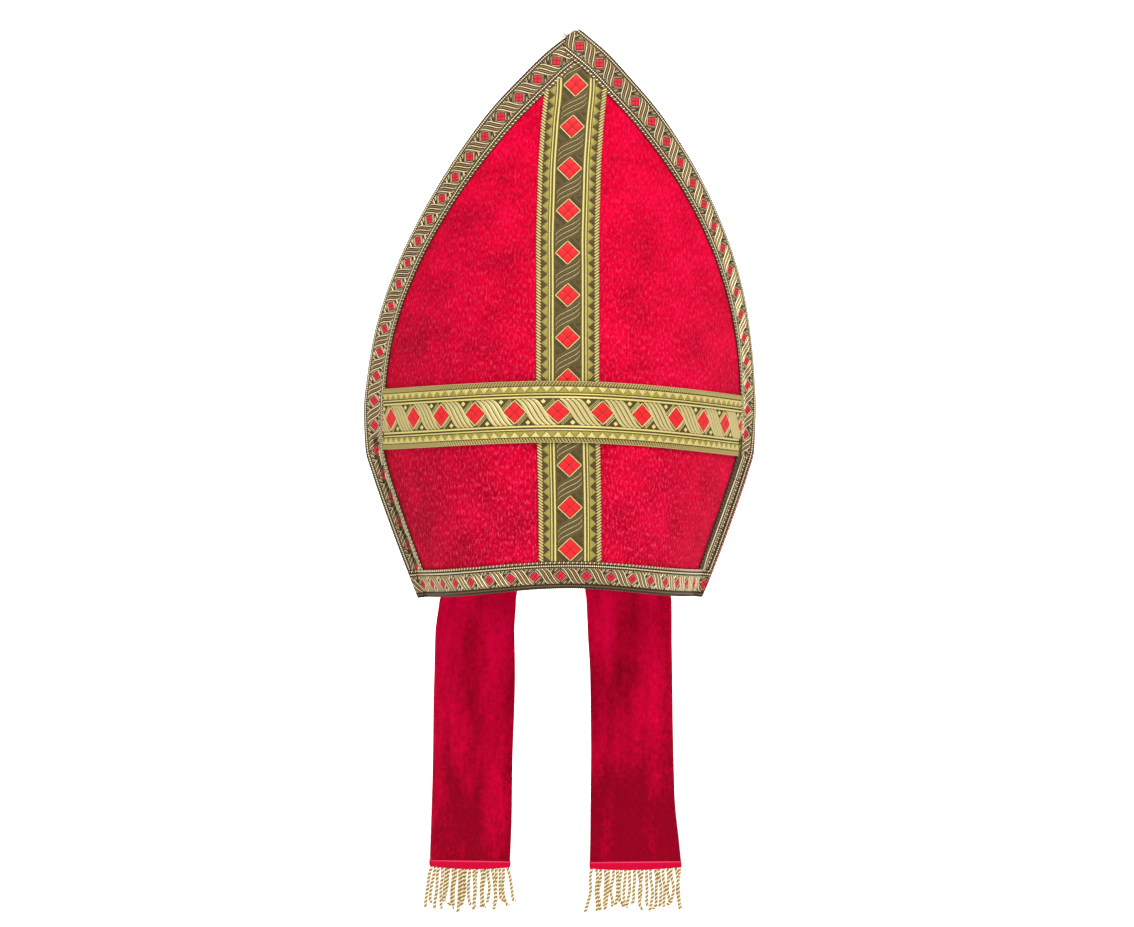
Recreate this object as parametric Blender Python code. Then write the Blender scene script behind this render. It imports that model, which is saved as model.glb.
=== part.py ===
"""Bishop mitre: two stiff plush panels joined at the sides, gold braid round every edge,
a cross of wide galloon on the front, and two fringed lappets hanging from the back rim.

Metres, +Z up. The front faces -Y. The origin is the middle of the rim opening, where the
mitre sits on the head.
"""
import math
import random

import bpy
import bmesh
import numpy as np

# Crown
CROWN_HEIGHT = 0.3686
WIDEST_HALF = 0.1325
FRONT_DEPTH = 0.110
TIP_LEAN = 0.0065
RIM_ARCH = 0.0105
ARCH_ENDS_AT = 0.280
WALL = 0.003
WALL_CHAMFER = 0.0004
GAP = 0.0003

# Narrow braid, folded over the edges
BRAID_FACE = 0.0185
BRAID_RETURN = 0.006
BRAID_THICK = 0.0009
FOLD_ROUND = 0.0012
TIP_LAP = 0.0077
RIM_BRAID_TOP = 0.0180

# Wide galloon
GALLOON_WIDTH = 0.040
GALLOON_THICK = 0.0010
LIFT_RUN = 0.0035
LIFT_CLEAR = 0.0006
CROSS_HEIGHT = 0.1174
CROSS_TILT = 0.0021

# Lappets and fringes
LAPPET_WIDTH = 0.064
LAPPET_THICK = 0.0026
LAPPET_TOP = 0.045
LAPPET_DROP = 0.190
LEFT_SEAT = 0.097
RIGHT_SEAT = 0.086
LEFT_HEM_RISE = 0.0065
RIGHT_HEM_RISE = 0.0030
LAPPET_INSIDE = -0.0049
SEWN_INSIDE = -0.0035
HEM_HEIGHT = 0.005
HEM_THICK = 0.0040
HEM_STEP = 0.0006
FRINGE_HEAD = 0.002
FRINGE_LENGTH = 0.029
FRINGE_CORD = 0.0020
FRINGE_CORDS = 18
FRINGE_SWAY = 0.0011
FRINGE_DEPTH = 0.0016

# Mesh steps
MIDDLE_COLUMNS = 17
EDGE_DISTANCES = (BRAID_FACE, 0.0115, 0.0075, 0.0040)
CROWDED_BELOW = 0.070
LEVEL_STEPS = 160
ARC_STEPS = 96

# Sections of the crown. height is a share of CROWN_HEIGHT, half of WIDEST_HALF, centre
# and edge of FRONT_DEPTH (how far forward the middle and the side edge lie), lean of
# TIP_LEAN. fullness is how much sooner than a circle the section turns away.
SECTION_COLUMNS = ("height", "half", "centre", "edge", "fullness", "lean")
SECTIONS = (
    (0.0000, 0.7267, 0.891, 0.0378, 1.90, 0.00),
    (0.0814, 0.8147, 0.927, 0.0366, 1.88, 0.00),
    (0.1628, 0.8975, 0.959, 0.0364, 1.85, 0.00),
    (0.2279, 0.9590, 0.982, 0.0372, 1.83, 0.00),
    (0.2713, 0.9924, 0.995, 0.0410, 1.82, 0.00),
    (0.3418, 1.0000, 1.000, 0.0560, 1.80, 0.00),
    (0.4069, 0.9848, 0.995, 0.0880, 1.80, 0.08),
    (0.4748, 0.9560, 0.991, 0.1550, 1.80, 0.17),
    (0.5426, 0.9089, 0.982, 0.2590, 1.75, 0.33),
    (0.6104, 0.8398, 0.973, 0.3820, 1.70, 0.47),
    (0.6782, 0.7517, 0.959, 0.4950, 1.65, 0.60),
    (0.7461, 0.6454, 0.945, 0.6090, 1.60, 0.71),
    (0.8139, 0.5186, 0.927, 0.7250, 1.55, 0.76),
    (0.8681, 0.3994, 0.914, 0.8130, 1.50, 0.78),
    (0.9224, 0.2566, 0.900, 0.8640, 1.40, 0.82),
    (0.9631, 0.1443, 0.891, 0.8840, 1.30, 0.91),
    (1.0000, 0.0180, 0.882, 0.8815, 1.20, 1.00),
)

# The flattened border of each side, where the panels are sewn flat together low down and
# flare higher up. width is a share of BRAID_FACE, lost is the share of the turn lost.
BORDER_COLUMNS = ("height", "left_width", "left_lost", "right_width", "right_lost")
BORDERS = (
    (0.00, 0.36, 0.86, 0.36, 0.86),
    (0.22, 0.38, 0.84, 0.38, 0.84),
    (0.29, 0.62, 0.64, 0.50, 0.66),
    (0.36, 0.86, 0.47, 0.58, 0.40),
    (0.47, 0.90, 0.25, 0.70, 0.16),
    (0.60, 0.90, 0.07, 0.80, 0.05),
    (0.74, 0.90, 0.02, 0.80, 0.00),
    (0.85, 0.90, 0.00, 0.80, 0.00),
    (1.00, 0.90, 0.00, 0.80, 0.00),
)

# Heights of the mesh rows of the panels and edge braids, as shares of CROWN_HEIGHT.
ROW_SHARES = (
    0.110, 0.180, 0.240, 0.285, 0.335, 0.395, 0.460, 0.525, 0.585,
    0.645, 0.705, 0.755, 0.800, 0.840, 0.875, 0.908, 0.940, 0.968,
)

# How each lappet hangs: drop is a share of LAPPET_DROP below the rim, shift moves the
# outer edge aside in shares of LAPPET_WIDTH, turn is in degrees from facing front, bow is
# in shares of LAPPET_THICK.
HANG_COLUMNS = ("drop", "shift", "turn", "bow")
HANG_LEFT = (
    (-0.10, 0.000, 40.0, 0.9),
    (0.00, 0.000, 36.0, 0.8),
    (0.14, 0.045, 33.0, 0.7),
    (0.36, 0.070, 31.0, 0.5),
    (0.58, 0.080, 32.0, 0.5),
    (0.80, 0.100, 31.0, 0.6),
    (1.00, 0.120, 32.0, 0.8),
)
HANG_RIGHT = (
    (-0.10, 0.000, 38.0, 0.9),
    (0.00, 0.000, 29.0, 0.8),
    (0.14, 0.005, 31.0, 0.7),
    (0.30, 0.020, 33.0, 0.5),
    (0.53, 0.030, 33.0, 0.5),
    (0.75, 0.045, 31.0, 0.6),
    (0.91, 0.090, 23.0, 0.7),
    (1.00, 0.115, 15.0, 0.9),
)

PLUSH = ("plush", (0.620, 0.003, 0.030), 0.85, 0.0)
LAPPET_PLUSH = ("lappet_plush", (0.360, 0.002, 0.020), 0.85, 0.0)
BRAID = ("narrow_braid", (0.360, 0.270, 0.120), 0.45, 0.35)
GALLOON = ("wide_galloon", (0.420, 0.340, 0.140), 0.50, 0.25)
FRINGE = ("fringe_cord", (0.780, 0.660, 0.420), 0.60, 0.10)


def clear_scene():
    for old in list(bpy.data.objects):
        bpy.data.objects.remove(old, do_unlink=True)


def smooth_column(at, xs, ys):
    """Monotone cubic through the points of one table column."""
    xs = np.asarray(xs, float)
    ys = np.asarray(ys, float)
    steps = np.diff(xs)
    rises = np.diff(ys) / steps
    slopes = np.zeros(len(xs))
    slopes[0] = rises[0]
    slopes[-1] = rises[-1]
    for i in range(1, len(xs) - 1):
        if rises[i - 1] * rises[i] > 0:
            before = 2 * steps[i] + steps[i - 1]
            after = steps[i] + 2 * steps[i - 1]
            slopes[i] = (before + after) / (before / rises[i - 1] + after / rises[i])
    at = np.clip(np.asarray(at, float), xs[0], xs[-1])
    i = np.clip(np.searchsorted(xs, at, side="right") - 1, 0, len(xs) - 2)
    h = steps[i]
    t = (at - xs[i]) / h
    value = (2 * t ** 3 - 3 * t ** 2 + 1) * ys[i]
    value += (t ** 3 - 2 * t ** 2 + t) * h * slopes[i]
    value += (3 * t ** 2 - 2 * t ** 3) * ys[i + 1]
    value += (t ** 3 - t ** 2) * h * slopes[i + 1]
    return value


def turning(u, edge_angle, fullness, border, lost):
    """Tangent angle of a section at share u of the way to its edge. border is the share
    that is flattened, lost the share of the turn that it loses."""
    angle = edge_angle * (fullness * u - (fullness - 1) * u * u)
    flat = smooth_step(u, 1 - border * 1.25, 1 - border * 0.70)
    return angle * (1 - lost * flat)


class Crown:
    """The front panel's outer face: s runs along a section from its middle, in metres,
    positive to the right, and level is the height of that section at the side edge."""

    def __init__(self):
        share = np.linspace(0, 1, LEVEL_STEPS + 1)
        columns = {}
        for names, rows in ((SECTION_COLUMNS, SECTIONS), (BORDER_COLUMNS, BORDERS)):
            table = np.array(rows)
            for i, name in enumerate(names):
                columns[name] = smooth_column(share, table[:, 0], table[:, i])
        self.levels = share * CROWN_HEIGHT
        self.half = columns["half"] * WIDEST_HALF
        self.centre = columns["centre"] * FRONT_DEPTH
        self.edge = columns["edge"] * FRONT_DEPTH
        self.fullness = columns["fullness"]
        self.lean = columns["lean"] * TIP_LEAN
        self.lost = np.array((columns["left_lost"], columns["right_lost"]))
        width = np.array((columns["left_width"], columns["right_width"])) * BRAID_FACE
        self.border = np.zeros((2, LEVEL_STEPS + 1))
        self.angle = np.zeros((2, LEVEL_STEPS + 1))
        self.reach = np.zeros((2, LEVEL_STEPS + 1))
        self.across = np.zeros((2, LEVEL_STEPS + 1, ARC_STEPS + 1))
        self.back = np.zeros((2, LEVEL_STEPS + 1, ARC_STEPS + 1))
        for side in (0, 1):
            for k in range(LEVEL_STEPS + 1):
                self.solve_section(side, k, width[side, k])

    def solve_section(self, side, k, width):
        """Finds the edge angle and arc length that give the section's width and depth."""
        u = np.linspace(0, 1, ARC_STEPS + 1)
        wanted = (self.centre[k] - self.edge[k]) / self.half[k]
        border = min(width / (1.4 * self.half[k]), 0.5)
        low = 0.001
        high = math.radians(89)
        for _ in range(40):
            middle = (low + high) / 2
            theta = turning(u, middle, self.fullness[k], border, self.lost[side, k])
            depth = running_sum(np.sin(theta), u)[-1]
            span = running_sum(np.cos(theta), u)[-1]
            if depth / span < wanted:
                low = middle
            else:
                high = middle
        theta = turning(u, low, self.fullness[k], border, self.lost[side, k])
        run = running_sum(np.cos(theta), u)
        fall = running_sum(np.sin(theta), u)
        self.border[side, k] = border
        self.angle[side, k] = low
        self.reach[side, k] = self.half[k] / run[-1]
        self.across[side, k] = run * self.reach[side, k]
        self.back[side, k] = fall * self.reach[side, k]

    def at(self, name, level):
        return np.interp(level, self.levels, getattr(self, name))

    def at_side(self, name, level, is_right):
        left, right = getattr(self, name)
        by_left = np.interp(level, self.levels, left)
        by_right = np.interp(level, self.levels, right)
        return np.where(is_right, by_right, by_left)

    def from_grid(self, grid, level, u, is_right):
        side = np.where(is_right, 1, 0)
        row = np.clip(level / CROWN_HEIGHT, 0, 1) * LEVEL_STEPS
        i = np.minimum(row.astype(int), LEVEL_STEPS - 1)
        fi = row - i
        col = np.clip(u, 0, 1) * ARC_STEPS
        j = np.minimum(col.astype(int), ARC_STEPS - 1)
        fj = col - j
        low = grid[side, i, j] * (1 - fj) + grid[side, i, j + 1] * fj
        high = grid[side, i + 1, j] * (1 - fj) + grid[side, i + 1, j + 1] * fj
        return low * (1 - fi) + high * fi

    def place(self, s, level, out=0.0):
        """Points of the front at s and level, moved outward by out."""
        s, level, out = np.broadcast_arrays(
            np.asarray(s, float), np.asarray(level, float), np.asarray(out, float))
        is_right = s >= 0
        side = np.where(is_right, 1.0, -1.0)
        reach = self.at_side("reach", level, is_right)
        u = np.abs(s) / reach
        theta = turning(
            np.minimum(u, 1), self.at_side("angle", level, is_right),
            self.at("fullness", level), self.at_side("border", level, is_right),
            self.at_side("lost", level, is_right))
        past = np.maximum(u - 1, 0) * reach
        x = self.from_grid(self.across, level, u, is_right) + past * np.cos(theta)
        y = self.from_grid(self.back, level, u, is_right) + past * np.sin(theta)
        arch = RIM_ARCH * np.clip(1 - level / ARCH_ENDS_AT, 0, 1)
        part = np.clip(x / self.at("half", level), 0, 1)
        rise = (1 - part ** 2 + (1 + np.cos(math.pi * part)) / 2) / 2
        points = np.empty(s.shape + (3,))
        points[..., 0] = side * (x + out * np.sin(theta)) + self.at("lean", level)
        points[..., 1] = y - self.at("centre", level) - out * np.cos(theta) - GAP / 2
        points[..., 2] = level + arch * rise
        return points

    def aside(self, s, level, along_s, along_level):
        """Unit step in (s, level), square to the given direction on the cloth."""
        h = 0.0005
        up = np.minimum(level + h, CROWN_HEIGHT)
        down = np.maximum(level - h, 0)
        by_s = (self.place(s + h / 2, level) - self.place(s - h / 2, level)) / h
        by_level = (self.place(s, up) - self.place(s, down)) / (up - down)[..., None]
        ss = (by_s * by_s).sum(-1)
        sl = (by_s * by_level).sum(-1)
        ll = (by_level * by_level).sum(-1)
        step_s = -(sl * along_s + ll * along_level)
        step_l = ss * along_s + sl * along_level
        size = np.sqrt(ss * step_s ** 2 + 2 * sl * step_s * step_l + ll * step_l ** 2)
        return step_s / size, step_l / size

    def outline(self, level, side):
        """s of the side edge at a level. side is -1 for left and 1 for right."""
        return side * self.at_side("reach", level, side > 0)

    def inside_edge(self, level, distance, side):
        """Points (s, level) at a distance in from one side's outline."""
        h = 0.001
        up = np.minimum(level + h, CROWN_HEIGHT)
        down = np.maximum(level - h, 0)
        slope = (self.outline(up, side) - self.outline(down, side)) / (up - down)
        s = self.outline(level, side)
        step_s, step_l = self.aside(s, level, slope, np.ones_like(slope))
        return s + side * distance * step_s, level + side * distance * step_l


def running_sum(values, at):
    steps = (values[1:] + values[:-1]) / 2 * np.diff(at)
    return np.concatenate(([0.0], np.cumsum(steps)))


def smooth_step(value, low, high):
    t = np.clip((value - low) / (high - low), 0, 1)
    return t * t * (3 - 2 * t)


def material(look):
    name, colour, roughness, metallic = look
    made = bpy.data.materials.get(name)
    if made is None:
        made = bpy.data.materials.new(name)
        made.use_nodes = True
        shader = made.node_tree.nodes["Principled BSDF"]
        shader.inputs["Base Color"].default_value = (*colour, 1.0)
        shader.inputs["Roughness"].default_value = roughness
        shader.inputs["Metallic"].default_value = metallic
        made.diffuse_color = (*colour, 1.0)
    return made


def add_object(name, mesh, look):
    mesh.materials.append(material(look))
    mesh.shade_smooth()
    mesh.set_sharp_from_angle(angle=math.radians(40))
    made = bpy.data.objects.new(name, mesh)
    bpy.context.scene.collection.objects.link(made)
    return made


def slab(name, outer, inner, look):
    """A closed sheet between two grids of points of the same shape."""
    rows, columns = outer.shape[:2]
    mesh = bpy.data.meshes.new(name)
    bm = bmesh.new()
    tops = [[bm.verts.new(p) for p in row] for row in outer]
    lows = [[bm.verts.new(p) for p in row] for row in inner]
    for i in range(rows - 1):
        for j in range(columns - 1):
            bm.faces.new((tops[i][j], tops[i][j + 1], tops[i + 1][j + 1], tops[i + 1][j]))
            bm.faces.new((lows[i][j], lows[i + 1][j], lows[i + 1][j + 1], lows[i][j + 1]))
    for i in range(rows - 1):
        for j in (0, columns - 1):
            bm.faces.new((tops[i][j], tops[i + 1][j], lows[i + 1][j], lows[i][j]))
    for j in range(columns - 1):
        for i in (0, rows - 1):
            bm.faces.new((tops[i][j], lows[i][j], lows[i][j + 1], tops[i][j + 1]))
    bmesh.ops.recalc_face_normals(bm, faces=bm.faces)
    bm.to_mesh(mesh)
    bm.free()
    return add_object(name, mesh, look)


def turned_to_back(points):
    return points * np.array((1.0, -1.0, 1.0))


def row_columns(left, right, inset=0.0):
    """s of the mesh columns of one row between its two edges, close together near them.
    inset is how far the edges lie inside the outline."""
    near = np.array(EDGE_DISTANCES)
    left_near = near * min(1, abs(left) / CROWDED_BELOW) - inset
    right_near = near * min(1, abs(right) / CROWDED_BELOW) - inset
    middle = np.linspace(left + left_near[0], right - right_near[0], MIDDLE_COLUMNS + 1)
    return np.concatenate((
        [left], left + left_near[:0:-1], middle, right - right_near[1:], [right]))


def panel_grids(crown):
    """Outer and inner faces of a panel, inside the fold of the braid."""
    inset = BRAID_THICK + GAP
    levels = np.concatenate(([0.0, 0.055], ROW_SHARES, [1.0])) * CROWN_HEIGHT
    left, left_level = crown.inside_edge(levels, inset, -1)
    right, right_level = crown.inside_edge(levels, inset, 1)
    left_level[0] = inset
    right_level[0] = inset
    outer = []
    inner = []
    for k in range(len(levels)):
        soft = min(WALL_CHAMFER, abs(right[k]) / 4)
        far = min(inset, abs(right[k]) / 60)
        s = row_columns(left[k], right[k], far)
        s = np.concatenate((s[:1], s[:1] + soft, s[1:-1], s[-1:] - soft, s[-1:]))
        level = np.interp(s, (left[k], right[k]), (left_level[k], right_level[k]))
        drop = np.zeros(len(s))
        drop[0] = WALL_CHAMFER
        drop[-1] = WALL_CHAMFER
        outer.append(crown.place(s, level, -drop))
        inner.append(crown.place(s, level, drop - WALL))
    return np.array(outer), np.array(inner)


def fold_profile():
    """Points (distance in from the fold, outward) of a braid folded over an edge: its
    outer skin and its inner skin."""
    top = GAP + BRAID_THICK
    low = -WALL - top
    thick = BRAID_THICK
    corner = FOLD_ROUND / 2
    near = FOLD_ROUND / 4
    outer = [(distance, top) for distance in EDGE_DISTANCES]
    inner = [(distance, GAP) for distance in EDGE_DISTANCES]
    outer += [
        (FOLD_ROUND, top), (near, top - corner), (0.0, -WALL / 2), (near, low + corner),
        (FOLD_ROUND, low), (BRAID_RETURN, low),
    ]
    inner += [
        (thick + 0.8 * corner, GAP), (thick + near / 3, -GAP / 2), (thick, -WALL / 2),
        (thick + near / 3, GAP / 2 - WALL), (thick + 0.8 * corner, -WALL - GAP),
        (BRAID_RETURN, -WALL - GAP),
    ]
    return outer, inner


def inner_line(crown, side):
    """The edge braid's inner border, as (s, level) from low to high."""
    levels = np.linspace(0.05, 1.0, 120) * CROWN_HEIGHT
    return crown.inside_edge(levels, BRAID_FACE, side)


def last_free(start_s, start_level, step_s, step_level, is_free):
    """The furthest point from the start along a step that is still free."""
    low = -0.27 * BRAID_FACE
    high = 3.2 * BRAID_FACE
    for _ in range(40):
        middle = (low + high) / 2
        if is_free(start_s + middle * step_s, start_level + middle * step_level):
            low = middle
        else:
            high = middle
    return start_s + low * step_s, start_level + low * step_level


def edge_braid_grid(crown, profile, side):
    """One skin of an edge braid. The right one laps over the tip, the left one stops at
    the right one's cut end and inner border."""
    start = RIM_BRAID_TOP + GAP
    levels = np.concatenate(([start], np.array(ROW_SHARES) * CROWN_HEIGHT, [CROWN_HEIGHT]))
    near = np.array((0.970, 0.985)) * CROWN_HEIGHT
    border_s, border_level = inner_line(crown, 1)

    def on_top(s, level):
        far_side = s < crown.outline(level, -1)
        return level <= CROWN_HEIGHT and s >= -TIP_LAP and not far_side

    def beside(s, level):
        border = np.interp(level, border_level, border_s) - 2 * GAP
        return s < -TIP_LAP - 2 * GAP or s < border - corner

    columns = []
    for distance, out in profile:
        corner = 0.0 if distance == BRAID_FACE else TIP_LAP
        s, level = crown.inside_edge(levels, distance, side)
        s[0] = crown.outline(start, side) - side * distance
        level[0] = start
        near_s, near_level = crown.inside_edge(near, distance, side)
        run = math.hypot(near_s[1] - near_s[0], near_level[1] - near_level[0])
        step_s = (near_s[1] - near_s[0]) / run
        step_level = (near_level[1] - near_level[0]) / run
        is_free = on_top if side > 0 else beside
        s[-1], level[-1] = last_free(s[-2], level[-2], step_s, step_level, is_free)
        columns.append(crown.place(s, level, out))
    return np.array(columns).transpose(1, 0, 2)


def rim_braid_grid(crown, profile):
    rows = []
    for distance, out in profile:
        level = distance * RIM_BRAID_TOP / BRAID_FACE
        s = row_columns(crown.outline(level, -1), crown.outline(level, 1))
        rows.append(crown.place(s, level, out))
    return np.array(rows)


def rim_profile():
    """The fold profile of the rim braid, which needs no steps across its face."""
    return [skin[:1] + skin[2:3] + skin[4:] for skin in fold_profile()]


def upright_grid(crown, out):
    """The upright galloon, from the rim braid to the braids at the tip."""
    s = np.array((-1, -0.5, 0, 0.5, 1)) * GALLOON_WIDTH / 2
    top = np.zeros(len(s))
    for i in range(len(s)):
        line_s, line_level = inner_line(crown, 1 if s[i] >= 0 else -1)
        order = np.argsort(line_s)
        top[i] = np.interp(s[i], line_s[order], line_level[order]) - 6 * GAP
    shares = [share for share in ROW_SHARES if share < 0.84]
    levels = np.concatenate(([RIM_BRAID_TOP + GAP], np.array(shares) * CROWN_HEIGHT))
    rows = [crown.place(s, level, out) for level in levels]
    rows.append(crown.place(s, top, out))
    return np.array(rows)


def cross_grid(crown, out):
    """The cross galloon, lifted where it lies over the upright one."""
    lift_from = GALLOON_WIDTH / 2 + LIFT_RUN
    lift_to = GALLOON_WIDTH / 2 + LIFT_CLEAR
    lifted = GALLOON_THICK + GAP
    outer_s = row_columns(crown.outline(CROSS_HEIGHT, -1), crown.outline(CROSS_HEIGHT, 1))
    outside = [s for s in outer_s[5:-5] if abs(s) > lift_from + LIFT_RUN]
    middle = (-lift_from, -lift_to, -lift_to / 2, 0.0, lift_to / 2, lift_to, lift_from)
    inner_s = np.array(sorted(outside + list(middle)))
    rows = []
    for across in (-0.5, 0.0, 0.5):
        level = CROSS_HEIGHT + across * GALLOON_WIDTH * 1.02
        ends = []
        for side in (-1, 1):
            line_s, line_level = inner_line(crown, side)
            ends.append(np.interp(level, line_level[:60], line_s[:60]) - side * 3 * GAP)
        s = np.concatenate((ends[:1], inner_s, ends[1:]))
        tilted = level - CROSS_TILT * s / ends[1]
        lift = np.where(np.abs(s) < lift_to + GAP / 10, lifted, 0.0)
        rows.append(crown.place(s, tilted, out + lift))
    return np.array(rows)


def lappet_seat(side):
    """How far along the back wall, from its middle, a lappet's middle is sewn."""
    return LEFT_SEAT if side < 0 else RIGHT_SEAT


def lappet_point(crown, side, share, drop, out):
    """A point of a lappet: share -1 to 1 across it from its inner edge, drop metres below
    the rim's lowest line, out toward the back."""
    table = np.array(HANG_LEFT if side < 0 else HANG_RIGHT)
    rise = LEFT_HEM_RISE if side < 0 else RIGHT_HEM_RISE
    part = drop / LAPPET_DROP
    shift = smooth_column(part, table[:, 0], table[:, 1]) * LAPPET_WIDTH
    turn = math.radians(float(smooth_column(part, table[:, 0], table[:, 2])))
    bow = smooth_column(part, table[:, 0], table[:, 3]) * LAPPET_THICK
    seat = crown.place(lappet_seat(side) + LAPPET_WIDTH / 2, 0.0, LAPPET_INSIDE)
    along = (share - 1) * LAPPET_WIDTH / 2
    back = out - bow * share ** 2
    x = seat[0] + shift + along * math.cos(turn) + back * math.sin(turn)
    y = -seat[1] - along * math.sin(turn) + back * math.cos(turn)
    return np.array((side * x, y, -drop + rise * max(part, 0) * (1 + share) / 2))


def lappet_grid(crown, side, face):
    """One face of a lappet. face is 0 for the side against the wall, 1 for the other."""
    shares = np.linspace(-1, 1, 7)
    rows = []
    for level in (LAPPET_TOP, LAPPET_TOP * 0.8):
        s = lappet_seat(side) + shares * LAPPET_WIDTH / 2
        out = SEWN_INSIDE - face * LAPPET_THICK
        row = turned_to_back(crown.place(s, level, out))
        row[:, 0] *= side
        rows.append(row)
    hem = LAPPET_DROP - HEM_HEIGHT
    for share in (-0.08, 0.0, 0.10, 0.28, 0.50, 0.72, 0.88):
        out = -face * LAPPET_THICK
        rows.append([lappet_point(crown, side, k, share * LAPPET_DROP, out) for k in shares])
    for drop in (hem - HEM_STEP, hem, LAPPET_DROP):
        thick = HEM_THICK if drop >= hem else LAPPET_THICK
        out = (thick - LAPPET_THICK) / 2 - face * thick
        rows.append([lappet_point(crown, side, k, drop, out) for k in shares])
    return np.array(rows)


def add_lappet(crown, name, side):
    slab(name, lappet_grid(crown, side, 0), lappet_grid(crown, side, 1), LAPPET_PLUSH)


def add_fringe(crown, name, side):
    """A row of cords that grow out of one heading under the hem."""
    sway = random.Random(11 if side < 0 else 23)
    pitch = (LAPPET_WIDTH - FRINGE_CORD) / (FRINGE_CORDS - 1)
    edges = []
    for i in range(FRINGE_CORDS):
        start = -LAPPET_WIDTH / 2 + i * pitch
        edges.append(start)
        edges.append(start + FRINGE_CORD)
    shares = np.array(edges) / (LAPPET_WIDTH / 2)
    top = LAPPET_DROP + GAP
    middle = -LAPPET_THICK / 2
    half = FRINGE_CORD / 2

    def ring_point(share, drop, out):
        return lappet_point(crown, side, share, drop, out)

    mesh = bpy.data.meshes.new(name)
    bm = bmesh.new()
    grid = {}
    for k, share in enumerate(shares):
        for level, drop in enumerate((top, top + FRINGE_HEAD)):
            for face, out in enumerate((middle + half, middle - half)):
                grid[k, level, face] = bm.verts.new(ring_point(share, drop, out))
    for k in range(len(shares) - 1):
        for level in (0, 1):
            if level == 1 and k % 2 == 0:
                continue
            bm.faces.new((
                grid[k, level, 0], grid[k + 1, level, 0],
                grid[k + 1, level, 1], grid[k, level, 1]))
        for face in (0, 1):
            bm.faces.new((
                grid[k, 0, face], grid[k + 1, 0, face],
                grid[k + 1, 1, face], grid[k, 1, face]))
    for k in (0, len(shares) - 1):
        bm.faces.new((grid[k, 0, 0], grid[k, 1, 0], grid[k, 1, 1], grid[k, 0, 1]))
    for k in range(0, len(shares) - 1, 2):
        length = FRINGE_LENGTH * (0.90 + 0.10 * sway.random())
        aside = FRINGE_SWAY * math.sin(0.55 * k + side)
        depth = FRINGE_DEPTH * (sway.random() * 2 - 1)
        ring = [grid[k, 1, 0], grid[k + 1, 1, 0], grid[k + 1, 1, 1], grid[k, 1, 1]]
        for part in (0.5, 1.0):
            move_s = aside * part * part / (LAPPET_WIDTH / 2)
            move_y = depth * math.sin(2.4 * part)
            drop = top + FRINGE_HEAD + length * part
            lower = []
            for share, out in (
                (shares[k], middle + half), (shares[k + 1], middle + half),
                (shares[k + 1], middle - half), (shares[k], middle - half),
            ):
                lower.append(bm.verts.new(ring_point(share + move_s, drop, out + move_y)))
            for i in range(4):
                j = (i + 1) % 4
                bm.faces.new((ring[i], ring[j], lower[j], lower[i]))
            ring = lower
        bm.faces.new(ring)
    bmesh.ops.recalc_face_normals(bm, faces=bm.faces)
    bm.to_mesh(mesh)
    bm.free()
    return add_object(name, mesh, FRINGE)


def build():
    clear_scene()
    crown = Crown()
    outer, inner = panel_grids(crown)
    slab("front_panel", outer, inner, PLUSH)
    slab("back_panel", turned_to_back(outer), turned_to_back(inner), PLUSH)

    skins = fold_profile()
    for name, side in (("left", -1), ("right", 1)):
        face, lining = [edge_braid_grid(crown, skin, side) for skin in skins]
        slab("front_edge_braid_" + name, face, lining, BRAID)
        slab("back_edge_braid_" + name, turned_to_back(face), turned_to_back(lining), BRAID)
    face, lining = [rim_braid_grid(crown, skin) for skin in rim_profile()]
    slab("front_rim_braid", face, lining, BRAID)
    slab("back_rim_braid", turned_to_back(face), turned_to_back(lining), BRAID)

    low = GAP
    high = GAP + GALLOON_THICK
    slab("upright_galloon", upright_grid(crown, high), upright_grid(crown, low), GALLOON)
    slab("cross_galloon", cross_grid(crown, high), cross_grid(crown, low), GALLOON)

    for name, side in (("left", -1), ("right", 1)):
        add_lappet(crown, "lappet_" + name, side)
        add_fringe(crown, "fringe_" + name, side)


build()
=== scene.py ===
import collections
import math
import random

import bpy
import numpy as np
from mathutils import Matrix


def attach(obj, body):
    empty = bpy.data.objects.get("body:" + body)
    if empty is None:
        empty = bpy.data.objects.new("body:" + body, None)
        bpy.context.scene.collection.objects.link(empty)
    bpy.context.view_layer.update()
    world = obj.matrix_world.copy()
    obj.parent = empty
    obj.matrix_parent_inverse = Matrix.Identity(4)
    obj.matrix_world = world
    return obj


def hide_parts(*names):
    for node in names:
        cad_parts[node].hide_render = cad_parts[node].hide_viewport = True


# Looks of the bishop mitre: plush, woven gold trims, twisted cords, floor, light and camera

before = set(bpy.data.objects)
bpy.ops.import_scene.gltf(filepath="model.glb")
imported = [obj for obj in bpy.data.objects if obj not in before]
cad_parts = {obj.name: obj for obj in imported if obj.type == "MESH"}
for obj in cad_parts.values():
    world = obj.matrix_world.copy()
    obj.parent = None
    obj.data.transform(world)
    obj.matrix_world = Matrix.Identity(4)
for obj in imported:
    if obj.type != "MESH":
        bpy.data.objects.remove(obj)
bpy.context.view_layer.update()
print("loaded", len(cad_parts), "nodes")

mm = 0.001

# Crown

crownSize = {
    "height": 0.3686, "widest": 0.1325, "depth": 0.110, "lean": 0.0065, "arch": 0.0105,
    "archEnds": 0.280, "wall": 0.003, "gap": 0.0003, "levelSteps": 160, "arcSteps": 120,
}
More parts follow.
